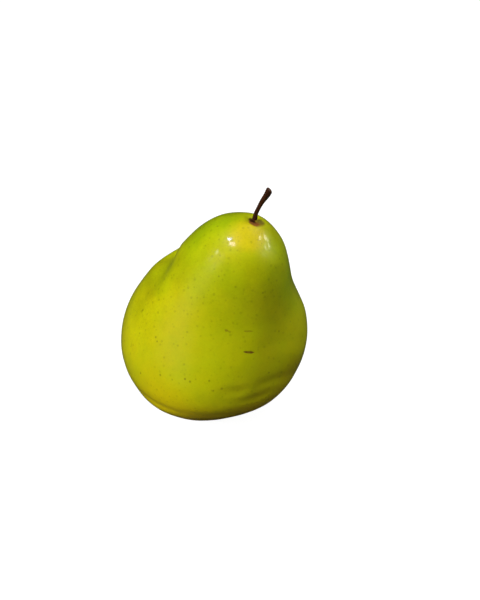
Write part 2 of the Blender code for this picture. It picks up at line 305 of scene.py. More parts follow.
    def ring_sizes(self, count: int) -> tuple[np.ndarray, np.ndarray]:
        """Space rings along the profile.

        Args:
            count: Number of rings.

        Returns:
            The rings' radii and their heights along the core.
        """
        points = self.profile_curve
        run = np.concatenate([[0.0], np.cumsum(np.hypot(*np.diff(points, axis=0).T))])
        even = np.linspace(0.0, 1.0, count)
        place = (even - self.ring_crowding * np.sin(TURN * even) / TURN) * run[-1]
        radius = np.interp(place, run, points[:, 0])
        radius[[0, -1]] = 0.0
        return radius, np.interp(place, run, points[:, 1])

    def tilts(self, height: np.ndarray) -> tuple[np.ndarray, np.ndarray]:
        """Tilt the core.

        Args:
            height: Heights along the core.

        Returns:
            Its tilts towards +X and +Y there, in radians.
        """
        leaning = smooth(height / self.lean_top)
        bending = smooth((height - self.bend_bottom) / (self.bend_top - self.bend_bottom))
        tilt_x = np.radians(self.lean[0] * leaning + self.bend[0] * bending)
        tilt_y = np.radians(self.lean[1] * leaning + self.bend[1] * bending)
        return tilt_x, tilt_y

    def on_core(self, radius: np.ndarray, azimuth: np.ndarray, height: np.ndarray) -> np.ndarray:
        """Place points round the leaning and bent core.

        Args:
            radius: Distances from the core.
            azimuth: Azimuths in radians.
            height: Heights along the core.

        Returns:
            The points, measured from the middle of the core's foot.
        """
        steps = np.linspace(0.0, self.profile[0][1], self.core_steps)
        step_x, step_y = self.tilts(steps)
        step_tilt = np.maximum(np.hypot(step_x, step_y), TINY)
        share = np.sin(step_tilt) / step_tilt
        direction = np.stack([share * step_x, share * step_y, np.cos(step_tilt)], axis=1)
        middles = 0.5 * (direction[1:] + direction[:-1]) * (steps[1] - steps[0])
        core = np.vstack([np.zeros(3), np.cumsum(middles, axis=0)])
        centre = np.stack([np.interp(height, steps, core[:, k]) for k in range(3)], axis=-1)

        tilt_x, tilt_y = self.tilts(height)
        tilt = np.maximum(np.hypot(tilt_x, tilt_y), TINY)
        across_x = radius * np.cos(azimuth)
        across_y = radius * np.sin(azimuth)
        downhill = (across_x * tilt_x + across_y * tilt_y) / tilt
        shortening = (np.cos(tilt) - 1.0) * downhill / tilt
        offset = [across_x + shortening * tilt_x, across_y + shortening * tilt_y, -np.sin(tilt) * downhill]
        return centre + np.stack(offset, axis=-1)

    def hollow_depth(self, azimuth: np.ndarray, girth: np.ndarray, height: np.ndarray, hollow: Hollow) -> np.ndarray:
        """Measure how deep one hollow is.

        Args:
            azimuth: Azimuths of the skin's points, in radians.
            girth: Radii by which distances round the fruit are measured.
            height: Their heights along the core.
            hollow: The hollow's points.

        Returns:
            The depth at each point.
        """
        deepest = np.zeros_like(height)
        points = curve_points(hollow, self.hollow_steps)
        for near, far in zip(points[:-1], points[1:]):
            across = turn_between(azimuth, np.radians(near[0])) * girth
            along = height - near[1]
            step_across = np.radians(far[0] - near[0]) * girth
            step_along = far[1] - near[1]
            share = (across * step_across + along * step_along) / (step_across**2 + step_along**2)
            share = np.clip(share, 0.0, 1.0)
            distance = np.hypot(across - share * step_across, along - share * step_along)
            depth = near[2] + (far[2] - near[2]) * share
            width = near[3] + (far[3] - near[3]) * share
            deepest = np.maximum(deepest, depth * np.exp(-((distance / width) ** 2)))
        return deepest

    def raw_skin(self, plain: np.ndarray, azimuth: np.ndarray, height: np.ndarray) -> np.ndarray:
        """Raise the forms on the plain profile.

        Args:
            plain: Radii of the plain profile.
            azimuth: Azimuths in radians.
            height: Heights along the core.

        Returns:
            Points of the skin, measured from the middle of the core's foot.
        """
        girth = np.maximum(plain, self.narrowest_girth)
        fade = smooth(plain / self.fade_radius)
        radius = plain.copy()
        for lobe in self.lobes:
            wave = np.cos(lobe.count * (azimuth - np.radians(lobe.azimuth)))
            nearness = ((height - lobe.height) / lobe.spread) ** 2
            radius += plain * lobe.share * wave * np.exp(-nearness)
        for part in self.swellings:
            across = turn_between(azimuth, np.radians(part.azimuth)) * girth
            nearness = (across / part.around) ** 2 + ((height - part.height) / part.along) ** 2
            radius += part.rise * np.exp(-nearness) * fade
        for hollow in self.hollows:
            radius -= self.hollow_depth(azimuth, girth, height, hollow) * fade
        to_pit = np.hypot(plain * np.cos(azimuth) + self.pit_left, plain * np.sin(azimuth))
        pit = self.pit_depth * np.exp(-((to_pit / self.pit_radius) ** 2))
        return self.on_core(radius, azimuth, height - np.where(height > self.crown_bottom, pit, 0.0))

    def ring_points(self, rings: int, sides: int) -> np.ndarray:
        """Lay out the skin ring by ring.

        Args:
            rings: Number of rings.
            sides: Number of points in a ring.

        Returns:
            Points by ring and side, measured from the middle of the core's foot.
        """
        radius, height = self.ring_sizes(rings)
        turns = np.linspace(0.0, TURN, sides, endpoint=False)
        shape = (rings, sides)
        return self.raw_skin(
            np.broadcast_to(radius[:, None], shape).copy(),
            np.broadcast_to(turns[None, :], shape),
            np.broadcast_to(height[:, None], shape),
        )

    @cached_property
    def foot(self) -> np.ndarray:
        """Where the middle of the core's foot lies, so that the solid's lowest ring is pressed flat at height 0."""
        lowest = self.ring_points(self.solid_rings, self.solid_sides)[..., 2].min()
        return np.array([*self.base_at, -lowest - self.flat_depth])

    def spot(self, azimuth: float, height: float) -> Vector:
        """Find a place on the outer skin.

        Args:
            azimuth: Azimuth in degrees.
            height: Height along the core.

        Returns:
            The place in millimetres, in the shared frame.
        """
        outer = self.profile_curve[: int(self.profile_curve[:, 1].argmin())]
        radius = np.interp(height, outer[::-1, 1], outer[::-1, 0])
        point = self.raw_skin(np.array([radius]), np.radians([azimuth]), np.array([height]))
        return Vector((point[0] + self.foot).tolist())

    @cached_property
    def pit_bottom(self) -> np.ndarray:
        """Find the bottom of the small pit that the stem stands in.

        Returns:
            The place in millimetres, in the shared frame.
        """
        crown = self.profile_curve[: self.profile_steps // 4]
        height = np.interp(self.pit_left, crown[:, 0], crown[:, 1])
        return self.raw_skin(np.array([self.pit_left]), np.array([np.pi]), np.array([height]))[0] + self.foot

    def basin_height(self, radius: np.ndarray) -> np.ndarray:
        """Find how high the plain basin's skin lies.

        Args:
            radius: Distances from the middle of the basin.

        Returns:
            Heights above the spot that the pear rests on.
        """
        basin = self.profile_curve[self.profile_curve[:, 1].argmin() :]
        return np.interp(radius, basin[::-1, 0], basin[::-1, 1]) - self.flat_depth


class Sum(Enum):
    """Sums that a node can do."""

    ADD = "ADD"
    SUBTRACT = "SUBTRACT"
    MULTIPLY = "MULTIPLY"
    DIVIDE = "DIVIDE"
    MAXIMUM = "MAXIMUM"
    LESS = "LESS_THAN"


class Mixing(Enum):
    """Ways to lay one colour over another."""

    COVER = "MIX"
    TINT = "MULTIPLY"


class NodeSheet:
    """Adds nodes to one node tree and joins them."""

    def __init__(self, tree: bpy.types.NodeTree) -> None:
        """Work on this tree."""
        self.tree = tree

    def node(self, kind: str, values: dict[str | int, Source] | None = None, **settings: object) -> bpy.types.Node:
        """Add a node.

        Args:
            kind: The node's type name.
            values: What its inputs get: a number, a colour, or another node's output.
            settings: Its own settings by name.

        Returns:
            The node.
        """
        made = self.tree.nodes.new(kind)
        for name, value in settings.items():
            setattr(made, name, value)
        for socket, value in (values or {}).items():
            self.feed(made.inputs[socket], value)
        return made

    def feed(self, socket: Socket, value: Source) -> None:
        """Give an input its value, or join an output to it.

        Args:
            socket: The input.
            value: Its value, or the output.
        """
        if isinstance(value, Socket):
            self.tree.links.new(value, socket)
        else:
            socket.default_value = value

    def math(self, how: Sum, first: Source, second: Source) -> Socket:
        """Do one sum with two numbers."""
        return self.node("ShaderNodeMath", {0: first, 1: second}, operation=how.value).outputs[0]

    def times(self, first: Source, second: Source) -> Socket:
        """Multiply two numbers."""
        return self.math(Sum.MULTIPLY, first, second)

    def total(self, *values: Source) -> Socket:
        """Add up two or more numbers."""
        return reduce(lambda so_far, value: self.math(Sum.ADD, so_far, value), values)

    def vector(self, how: str, first: Source, second: Source) -> bpy.types.Node:
        """Do one sum with two vectors."""
        return self.node("ShaderNodeVectorMath", {0: first, 1: second}, operation=how)

    def scaled(self, vector: Source, factor: Source) -> Socket:
        """Stretch a vector by a factor."""
        return self.node("ShaderNodeVectorMath", {0: vector, "Scale": factor}, operation="SCALE").outputs[0]

    def moved(self, vector: Source, offset: Source) -> Socket:
        """Add an offset to a vector."""
        return self.vector("ADD", vector, offset).outputs[0]

    def distance(self, first: Source, second: Source) -> Socket:
        """Measure how far two places are apart."""
        return self.vector("DISTANCE", first, second).outputs["Value"]

    def level(self, place: Source) -> Socket:
        """Take a place's height."""
        return self.node("ShaderNodeSeparateXYZ", {0: place}).outputs[2]

    def grey(self, value: Source) -> Socket:
        """Turn a number into a grey."""
        return self.node("ShaderNodeCombineColor", {0: value, 1: value, 2: value}).outputs[0]

    def ease(self, value: Source, low: Source, high: Source, to_low: Source = 0.0, to_high: Source = 1.0) -> Socket:
        """Turn a range of numbers into another with soft ends.

        Args:
            value: The number.
            low: Where the change begins.
            high: Where it ends.
            to_low: Result at low.
            to_high: Result at high.

        Returns:
            The eased number.
        """
        values = {0: value, 1: low, 2: high, 3: to_low, 4: to_high}
        return self.node("ShaderNodeMapRange", values, interpolation_type="SMOOTHSTEP").outputs[0]

    def blend(self, mask: Source, under: Source, over: Source, how: Mixing = Mixing.COVER) -> Socket:
        """Lay one colour over another.

        Args:
            mask: How much of the second colour shows.
            under: The colour beneath.
            over: The colour on top.
            how: How the two are mixed.

        Returns:
            The mixed colour.
        """
        values = {0: mask, 6: under, 7: over}
        return self.node("ShaderNodeMix", values, data_type="RGBA", blend_type=how.value).outputs[2]

    def noise(self, place: Source, size: float, detail: float = 2.0, rough: float = 0.5) -> bpy.types.Node:
        """Add cloudy noise.

        Args:
            place: Places in millimetres.
            size: Size of its clouds in millimetres.
            detail: How many finer layers it has.
            rough: How strong the finer layers are.

        Returns:
            The noise node.
        """
        values = {"Vector": place, "Scale": 1.0 / size, "Detail": detail, "Roughness": rough}
        return self.node("ShaderNodeTexNoise", values)

    def ramp(self, value: Source, stops: Sequence[tuple[float, Colour]]) -> Socket:
        """Turn a number into a colour.

        Args:
            value: The number, from 0 to 1.
            stops: Places along the range and their colours, in order.

        Returns:
            The colour.
        """
        made = self.node("ShaderNodeValToRGB", {0: value})
        parts = made.color_ramp.elements
        while len(parts) < len(stops):
            parts.new(1.0)
        for part, (place, colour) in zip(parts, stops):
            part.position = place
            part.color = colour
        return made.outputs[0]


class Effect(NodeSheet):
    """A shared node group, built once, that gives one number for each place."""

    VECTORS: tuple[str, ...] = ("Place",)  # names of its vector inputs
    NUMBERS: tuple[str, ...] = ()  # names of its number inputs

    def __init__(self) -> None:
        """Make the group with its inputs, its nodes and its result."""
        super().__init__(bpy.data.node_groups.new(type(self).__name__, "ShaderNodeTree"))
        for kind, names in (("NodeSocketVector", self.VECTORS), ("NodeSocketFloat", self.NUMBERS)):
            for name in names:
                self.tree.interface.new_socket(name, in_out="INPUT", socket_type=kind)
        self.tree.interface.new_socket("Amount", in_out="OUTPUT", socket_type="NodeSocketFloat")
        self.given = self.node("NodeGroupInput").outputs
        self.node("NodeGroupOutput", {"Amount": self.amount()})

    def amount(self) -> Socket:
        """Work out the group's result, in each kind of effect its own way."""
        raise NotImplementedError

    def shaken(self, size: float) -> Socket:
        """Shift places by noise, by up to the input Ragged.

        Args:
            size: Size of the noise's clouds.

        Returns:
            The shifted places.
        """
        noise = self.noise(self.given["Place"], size, detail=3.0)
        centred = self.moved(noise.outputs["Color"], (-0.5, -0.5, -0.5))
        return self.moved(self.given["Place"], self.scaled(centred, self.times(self.given["Ragged"], 2.0)))


class SoftPatch(Effect):
    """A round patch: 1 within Radius, and 0 beyond Radius plus Softness."""

    VECTORS = ("Place", "Centre")
    NUMBERS = ("Radius", "Softness", "Ragged")
    CLOUDS = 3.0  # size of the clouds by which its edge wanders

    def amount(self) -> Socket:
        """Work out how much of a place the patch covers.

        Returns:
            The share, from 0 to 1.
        """
        away = self.distance(self.shaken(self.CLOUDS), self.given["Centre"])
        edge = self.total(self.given["Radius"], self.given["Softness"])
        return self.ease(away, self.given["Radius"], edge, 1.0, 0.0)


class ShortStroke(Effect):
    """A short stroke from Start to End that narrows at both ends."""

    VECTORS = ("Place", "Start", "End")
    NUMBERS = ("Half width", "Ragged")
    CLOUDS = 1.2  # size of the clouds by which its edge wanders
    EVEN_SHARE = 0.1  # how much of its width is even

    def amount(self) -> Socket:
        """Work out how much of a place the stroke covers.

        The way past a place is longer than the stroke by about 4 half widths squared over its length.

        Returns:
            The share, from 0 to 1.
        """
        place = self.shaken(self.CLOUDS)
        start, end, width = (self.given[name] for name in ("Start", "End", "Half width"))
        length = self.distance(start, end)
        way_past = self.total(self.distance(place, start), self.distance(place, end))
        reach = self.math(Sum.DIVIDE, self.times(self.times(width, width), 4.0), length)
        spare = self.math(Sum.SUBTRACT, way_past, length)
        return self.ease(spare, self.times(reach, self.EVEN_SHARE), reach, 1.0, 0.0)


class Speckle(Effect):
    """Scattered dots of about the radius Dot, in cells of the size Spacing, of which Share have one."""

    NUMBERS = ("Spacing", "Dot", "Share")
    SMALLEST = 0.55  # radius of the smallest dots, as a share of Dot
    LARGEST = 1.3  # radius of the largest
    EVEN_SHARE = 0.35  # how much of a dot is even

    def amount(self) -> Socket:
        """Work out how much of a place a dot covers.

        Returns:
            The share, from 0 to 1.
        """
        cells = self.scaled(self.given["Place"], self.math(Sum.DIVIDE, 1.0, self.given["Spacing"]))
        dots = self.node("ShaderNodeTexVoronoi", {"Vector": cells, "Scale": 1.0})
        away = self.times(dots.outputs["Distance"], self.given["Spacing"])
        draw = self.node("ShaderNodeSeparateColor", {0: dots.outputs["Color"]}).outputs
        size = self.times(self.given["Dot"], self.ease(draw[1], 0.0, 1.0, self.SMALLEST, self.LARGEST))
        mask = self.ease(away, self.times(size, self.EVEN_SHARE), size, 1.0, 0.0)
        return self.times(mask, self.math(Sum.LESS, draw[0], self.given["Share"]))


class Mottle(Effect):
    """Cloudy noise of the sizes Broad and Fine, from about -1 to 1."""

    NUMBERS = ("Broad", "Fine", "Fine share")
    RANGE = (0.25, 0.75)  # the noise that is spread from -1 to 1

    def amount(self) -> Socket:
        """Work out how far above or below the middle a place is.

        Returns:
            The number, from about -1 to 1.
        """
        fine_share = self.given["Fine share"]
        result: Source = 0.0
        for name, share in (("Broad", self.math(Sum.SUBTRACT, 1.0, fine_share)), ("Fine", fine_share)):
            place = self.scaled(self.given["Place"], self.math(Sum.DIVIDE, 1.0, self.given[name]))
            centred = self.ease(self.noise(place, 1.0).outputs["Fac"], *self.RANGE, -1.0, 1.0)
            result = self.total(result, self.times(centred, share))
        return result


@dataclass(frozen=True)
class Clouds:
    """Cloudy unevenness of two sizes."""

    broad: float  # size of the broad clouds
    fine: float  # size of the fine clouds
    fine_share: float  # how much of it the fine clouds make up
    strength: float  # how strongly it shows


@dataclass(frozen=True)
class Dots:
    """Scattered dots."""

    spacing: float  # size of the cells that may each hold one
    dot: float  # their radius
    share: float  # share of the cells that hold one
    strength: float  # how strongly they show


@dataclass(frozen=True)
class Edge:
    """A soft round edge."""

    radius: float  # radius of the even middle
    softness: float  # width of the soft edge
    ragged: float  # how far the edge wanders


class Effects:
    """The node groups that the pear's finishes share."""

    def __init__(self) -> None:
        """Build each group once."""
        self.patch = SoftPatch().tree
        self.stroke = ShortStroke().tree
        self.speckle = Speckle().tree
        self.mottle = Mottle().tree


class Finish(NodeSheet):
    """A procedural material in the making, with the places of its surface in millimetres."""

    def __init__(self, name: str, effects: Effects) -> None:
        """Make the material, with its shader and its places.

        Args:
            name: The material's name.
            effects: Shared node groups.
        """
        self.material = bpy.data.materials.new(name)
        self.material.use_nodes = True
        super().__init__(self.material.node_tree)
        self.effects = effects
        self.shader = self.tree.nodes["Principled BSDF"]
        self.place = self.scaled(self.node("ShaderNodeTexCoord").outputs["Object"], 1.0 / MM)

    def set(self, **values: Source) -> None:
        """Give the shader's inputs, named here with _ for a space, their values."""
        for name, value in values.items():
            self.feed(self.shader.inputs[name.replace("_", " ")], value)

    def group(self, tree: bpy.types.NodeTree, *values: Source) -> Socket:
        """Place a shared node group.

        Args:
            tree: The group.
            values: Its inputs after the place, in order.

        Returns:
            Its result.
        """
        made = self.node("ShaderNodeGroup", node_tree=tree)
        for socket, value in zip(made.inputs, (self.place, *values)):
            self.feed(socket, value)
        return made.outputs[0]

    def patch(self, centre: Vector, edge: Edge) -> Socket:
        """Mark a soft round patch."""
        return self.group(self.effects.patch, centre, edge.radius, edge.softness, edge.ragged)

    def stroke(self, start: Vector, end: Vector, half_width: float, ragged: float) -> Socket:
        """Mark a short stroke."""
        return self.group(self.effects.stroke, start, end, half_width, ragged)

    def dotted(self, dots: Dots) -> Socket:
        """Mark scattered dots, each from 0 to 1."""
        return self.group(self.effects.speckle, dots.spacing, dots.dot, dots.share)

    def cloudy(self, clouds: Clouds) -> Socket:
        """Add cloudy unevenness, from about -1 to 1."""
        return self.group(self.effects.mottle, clouds.broad, clouds.fine, clouds.fine_share)

    def grain(self, size: float, detail: float, rough: float = 0.5) -> Socket:
        """Add plain noise over the surface."""
        return self.noise(self.place, size, detail, rough).outputs["Fac"]

    def relief(self, *heights: Source) -> None:
        """Turn the sum of heights in millimetres into the shader's bumps."""
        bump = self.node("ShaderNodeBump", {"Height": self.total(*heights), "Distance": MM, "Strength": 1.0})
        self.set(Normal=bump.outputs[0])


@dataclass(frozen=True)
class Blush:
    """A soft area that is riper or greener than the rest of the skin; the same kind of area also marks painted shade.
    """

    azimuth: float  # direction of its middle
    height: float  # height of its middle along the core
    radius: float  # radius of its even middle
    softness: float  # width of its soft edge
    ripeness: float  # how much riper it is, or greener where negative


@dataclass(frozen=True)
class Scratch:
    """A short healed scratch."""

    start: tuple[float, float]  # (azimuth, height) of its left end
    end: tuple[float, float]  # (azimuth, height) of its right end
    half_width: float  # half its width
    strength: float  # how strongly it is coloured


@dataclass(frozen=True)
class CorkAndShadePatch:
    """A patch by the foot of the stem: mostly corky russet; the darkest stand for painted shade in the pit."""

    offset: tuple[float, float, float]  # its middle, measured from the bottom of the pit
    radius: float  # radius of its even middle
    softness: float  # width of its soft edge
    strength: float  # how much it covers the skin
    colour: Colour


@dataclass(frozen=True)
class SkinFinish:
    """Smooth waxy skin that ripens from green to yellow, with lenticels, scratches and russet at both ends."""

    # Colours from green to full yellow, by ripeness from 0 to 1.
    ripening: tuple[tuple[float, Colour], ...] = (
        (0.0, (0.20, 0.31, 0.002, 1.0)),
        (0.2, (0.31, 0.45, 0.002, 1.0)),
        (0.44, (0.44, 0.51, 0.002, 1.0)),
        (0.6, (0.51, 0.525, 0.002, 1.0)),
        (0.76, (0.575, 0.525, 0.002, 1.0)),
        (1.0, (0.68, 0.56, 0.002, 1.0)),
    )
    ripeness: float = 0.536  # ripeness of the plain skin
    ripe_clouds: Clouds = Clouds(9.0, 1.7, 0.35, 0.07)  # unevenness of the ripeness
    # Riper and greener areas.
    blushes: tuple[Blush, ...] = (
        Blush(-108.0, 89.0, 3.5, 7.0, 0.4), Blush(-139.0, 82.0, 4.0, 8.0, 0.13), Blush(178.0, 82.0, 6.0, 14.0, -0.24),
        Blush(-28.0, 81.0, 5.0, 14.0, -0.16), Blush(-8.0, 70.0, 6.0, 12.0, -0.14),
        Blush(-148.0, 42.0, 10.0, 20.0, 0.13), Blush(-129.0, 60.0, 5.0, 15.0, 0.07),
        Blush(-172.0, 58.0, 3.0, 9.0, -0.1), Blush(-80.0, 68.0, 8.0, 14.0, -0.05),
        Blush(-120.0, 14.0, 8.0, 14.0, 0.2), Blush(-128.0, 70.0, 5.0, 12.0, -0.07),
    )
    # Painted shade: areas darkened to stand in for shade in the furrow, the creases and the dimly lit sides, whose
    # ripeness says how much darker they are; those with negative ripeness are painted light, brighter.
    painted_shade_areas: tuple[Blush, ...] = (
        Blush(176.0, 56.0, 5.0, 9.0, 0.16), Blush(-174.0, 47.0, 3.0, 8.0, 0.08), Blush(10.0, 72.0, 7.0, 10.0, 0.14),
        Blush(-158.0, 65.5, 4.0, 6.0, 0.13), Blush(-62.0, 85.0, 4.0, 8.0, -0.06), Blush(-48.0, 86.0, 2.0, 5.0, -0.12),
        Blush(-165.0, 33.0, 5.0, 9.0, -0.06), Blush(-118.0, 9.0, 6.0, 9.0, -0.2), Blush(-68.0, 24.0, 9.0, 12.0, 0.05),
        Blush(-78.0, 60.0, 4.0, 10.0, 0.05), Blush(160.0, 90.0, 4.0, 6.0, 0.1),
    )
    area_ragged: float = 1.5  # how far the edges of both wander
    riper_and_bounce_base_top: float = 34.0  # height up to which the base is riper and warmer, partly real colour and partly painted warm bounce light from below
    base_ripeness_and_bounce: float = 0.2  # how much riper and warmer the base is, partly painted bounce light
    brightness: float = 0.975  # brightness of the plain skin
    clouds: Clouds = Clouds(5.0, 0.9, 0.5, 0.05)  # unevenness of its brightness
    busy_left: Blush = Blush(-172.0, 45.0, 8.0, 18.0, 1.0)  # where the skin is more uneven, and how much more
    # Range of heights in which it becomes more uneven, and how much more.
    busy_above: tuple[float, float, float] = (45.0, 75.0, 0.6)
    busy_clouds: float = 0.06  # how much stronger the clouds are there
    busy_dots: float = 0.4  # how much stronger the lenticels are there
    dots: tuple[Dots, ...] = (Dots(2.4, 0.66, 0.95, 0.26), Dots(1.3, 0.36, 0.9, 0.12))  # common and fine lenticels
    # (azimuth, height, strength) of the lenticels that show most.
    specks: tuple[tuple[float, float, float], ...] = (
        (-114.0, 72.9, 0.56), (-93.5, 71.9, 0.5), (-63.0, 72.1, 0.6), (-149.5, 78.3, 0.45), (-166.0, 84.8, 0.55),
        (-129.0, 61.2, 0.35), (-116.0, 56.6, 0.25), (-119.5, 50.4, 0.5), (-140.5, 42.9, 0.8), (-138.0, 42.0, 0.8),
        (-122.0, 44.9, 0.42), (-128.0, 38.5, 0.4), (-142.3, 25.9, 1.0), (-113.0, 40.0, 0.45), (-126.5, 31.2, 0.8),
        (-117.5, 32.2, 0.6), (-109.5, 35.0, 0.95), (-106.0, 34.8, 0.75), (-103.0, 36.5, 0.45), (-94.5, 37.3, 0.8),
        (-86.0, 34.8, 0.65), (-91.0, 33.5, 0.75), (-41.5, 55.2, 0.55), (-49.0, 44.6, 0.3), (-53.5, 39.3, 0.75),
        (-155.5, 53.2, 0.5), (-164.5, 45.6, 0.9), (-158.0, 46.3, 0.3), (-45.5, 76.7, 0.55),
    )
    speck_sizes: tuple[float, ...] = (0.64, 0.72, 0.8)  # radii of those, which take turns
    speck_middle: float = 0.2  # how much of their radius is even
    lenticel: Colour = (0.38, 0.38, 0.35, 1.0)  # tint of a lenticel
    scratches: tuple[Scratch, ...] = (
        Scratch((-73.9, 48.75), (-65.0, 48.5), 0.5, 0.8), Scratch((-73.2, 48.75), (-70.6, 48.7), 0.3, 0.75),
        Scratch((-68.2, 48.55), (-65.6, 48.5), 0.36, 0.75), Scratch((-75.0, 56.2), (-67.2, 56.5), 0.4, 0.4),
        Scratch((-90.8, 55.3), (-88.2, 55.2), 0.42, 0.5), Scratch((-88.0, 55.1), (-85.5, 55.1), 0.36, 0.35),
    )
    scratch_ragged: float = 0.25  # how far their edges wander
    scar_brown: Colour = (0.125, 0.045, 0.005, 1.0)  # colour of the scratches
    # Corky russet patches by the foot of the stem, with painted shade in its pit.
    corks_and_pit_shade: tuple[CorkAndShadePatch, ...] = (
        CorkAndShadePatch((0.7, -1.3, 0.3), 2.4, 1.7, 0.78, (0.23, 0.145, 0.01, 1.0)),
        # Partly russet and partly painted shade on the pit's right rim.
        CorkAndShadePatch((2.3, -0.5, 0.3), 1.2, 1.3, 0.7, (0.13, 0.10, 0.012, 1.0)),
        CorkAndShadePatch((-0.1, -2.5, 0.4), 1.7, 1.1, 0.92, (0.29, 0.088, 0.016, 1.0)),
        # Painted shade: a dark patch that stands for the shadow on the pit's left wall.
        CorkAndShadePatch((-1.0, 0.1, 0.4), 1.0, 0.8, 0.95, (0.07, 0.018, 0.003, 1.0)),
        CorkAndShadePatch((0.0, -1.0, 0.0), 0.5, 0.6, 0.8, (0.085, 0.022, 0.004, 1.0)),
    )
    stem_patch_ragged: float = 0.7  # how far their edges wander
    basin_cork: Colour = (0.22, 0.11, 0.02, 1.0)  # colour of the corky skin in the basin
    basin_edge: Edge = Edge(5.0, 7.0, 1.6)  # its extent
    basin_cover: float = 0.85  # how much it covers the skin
    grain: tuple[float, float, float] = (0.9, 4.0, 0.6)  # (size, detail, roughness) of the cork's grain
    # (low, high, least, most) by which the grain darkens the cork.
    worn: tuple[float, float, float, float] = (0.3, 0.65, 0.55, 1.0)
    worn_cover: float = 0.6  # how much of that shows
    lumps: tuple[float, float, float] = (2.4, 3.0, 0.05)  # (size, detail, depth) of the skin's finest lumps
    pores: Dots = Dots(0.8, 0.22, 0.8, -0.012)  # the skin's pores, whose strength is their depth
    heights: tuple[float, float, float] = (0.02, -0.06, 0.25)  # how high lenticels, scratches and cork stand out
    plain_rough: float = 0.4  # roughness of the plain skin
    cloud_rough: float = 0.05  # how much it varies
    dull_rough: float = 0.3  # how much rougher cork and scratches are
    wax: float = 0.8  # how much of the wax's coat the plain skin has
    wax_on_dots: float = 0.4  # how much of it a lenticel takes away
    wax_rough: float = 0.11
    ior: float = 1.45

    def area(self, made: Finish, form: PearForm, area: Blush) -> Socket:
        """Mark a soft area of the skin, as strongly as its ripeness says.

        Args:
            made: The material in the making.
            form: The pear's form, on which the area is placed.
            area: The area.

        Returns:
            The area's ripeness within it, and 0 outside.
        """
        edge = Edge(area.radius, area.softness, self.area_ragged)
        return made.times(made.patch(form.spot(area.azimuth, area.height), edge), area.ripeness)

    def ripe(self, made: Finish, form: PearForm) -> Socket:
        """Work out how ripe each place is.

        Args:
            made: The material in the making.
            form: The pear's form, on which the areas are placed.

        Returns:
            The ripeness, from 0 to 1.
        """
        mottle = made.times(made.cloudy(self.ripe_clouds), self.ripe_clouds.strength)
        areas = [self.area(made, form, blush) for blush in self.blushes]
        # Warmer towards the base: partly a riper base, partly painted warm bounce light from below.
        base = made.ease(made.level(made.place), 0.0, self.riper_and_bounce_base_top, self.base_ripeness_and_bounce, 0.0)
        return made.total(self.ripeness, mottle, *areas, base)

    def busy(self, made: Finish, form: PearForm) -> Socket:
        """Mark where the skin is more uneven in colour than elsewhere.

        Args:
            made: The material in the making.
            form: The pear's form.

        Returns:
            How much more uneven each place is.
        """
        low, high, more = self.busy_above
        above = made.ease(made.level(made.place), low, high, 0.0, more)
        return made.total(self.area(made, form, self.busy_left), above)

    def lenticels(self, made: Finish, form: PearForm, busy: Socket) -> Socket:
        """Scatter the lenticels, and add those that show most.

        Args:
            made: The material in the making.
            form: The pear's form, on which the marks are placed.
            busy: How much more uneven the skin is at each place.

        Returns:
            How strongly a lenticel shows, from 0 to 1.
        """
        scattered = made.total(*(made.times(made.dotted(dots), dots.strength) for dots in self.dots))
        mask = made.times(scattered, made.total(1.0, made.times(busy, self.busy_dots)))
        for (azimuth, height, strength), radius in zip(self.specks, cycle(self.speck_sizes)):
            away = made.distance(made.place, form.spot(azimuth, height))
            dot = made.ease(away, self.speck_middle * radius, radius, strength, 0.0)
            mask = made.math(Sum.MAXIMUM, mask, dot)
        return mask

    def lay_cork_and_pit_shade(self, made: Finish, form: PearForm, colour: Socket, grain: Socket) -> tuple[Socket, Socket]:
        """Lay russet cork over the skin in the basin and round the foot of the stem, with painted shade in the pit.

        Args:
            made: The material in the making.
            form: The pear's form.
            colour: The skin's colour.
            grain: The cork's grain.

        Returns:
            The new colour, and how much cork and painted pit shade cover each place.
        """
        basin = Vector((*form.base_at, form.profile[-1][1]))
        cork_and_pit_shade = made.patch(basin, self.basin_edge)
        colour = made.blend(made.times(cork_and_pit_shade, self.basin_cover), colour, self.basin_cork)
        for patch in self.corks_and_pit_shade:
            centre = Vector((form.pit_bottom + np.array(patch.offset)).tolist())
            mask = made.patch(centre, Edge(patch.radius, patch.softness, self.stem_patch_ragged))
            mask = made.times(mask, patch.strength)
            colour = made.blend(mask, colour, patch.colour)
            cork_and_pit_shade = made.math(Sum.MAXIMUM, cork_and_pit_shade, mask)
        worn = made.grey(made.ease(grain, *self.worn))
        return made.blend(made.times(cork_and_pit_shade, self.worn_cover), colour, worn, Mixing.TINT), cork_and_pit_shade

    def scars(self, made: Finish, form: PearForm) -> Socket:
        """Mark the healed scratches.

        Args:
            made: The material in the making.
            form: The pear's form.

        Returns:
            How strongly a scratch shows, from 0 to 1.
        """
        scars: Source = 0.0
        for scratch in self.scratches:
            ends = (form.spot(*scratch.start), form.spot(*scratch.end))
            mask = made.times(made.stroke(*ends, scratch.half_width, self.scratch_ragged), scratch.strength)
            scars = made.total(scars, made.times(mask, made.math(Sum.SUBTRACT, 1.0, scars)))
        return scars

    def material(self, effects: Effects, form: PearForm) -> bpy.types.Material:
        """Build the skin's material.

        Args:
            effects: Shared node groups.
            form: The pear's form.

        Returns:
            The material.
        """
        made = Finish("waxy_pear_skin", effects)
        clouds = made.cloudy(self.clouds)
        busy = self.busy(made, form)
        contrast = made.total(self.clouds.strength, made.times(busy, self.busy_clouds))
        shade = made.total(made.times(clouds, contrast), self.brightness)
        # Painted shade, and painted light where an area's ripeness is negative.
        for painted_shade_area in self.painted_shade_areas:
            shade = made.math(Sum.SUBTRACT, shade, self.area(made, form, painted_shade_area))
        dots = self.lenticels(made, form, busy)
        grain = made.grain(*self.grain)
        scars = self.scars(made, form)

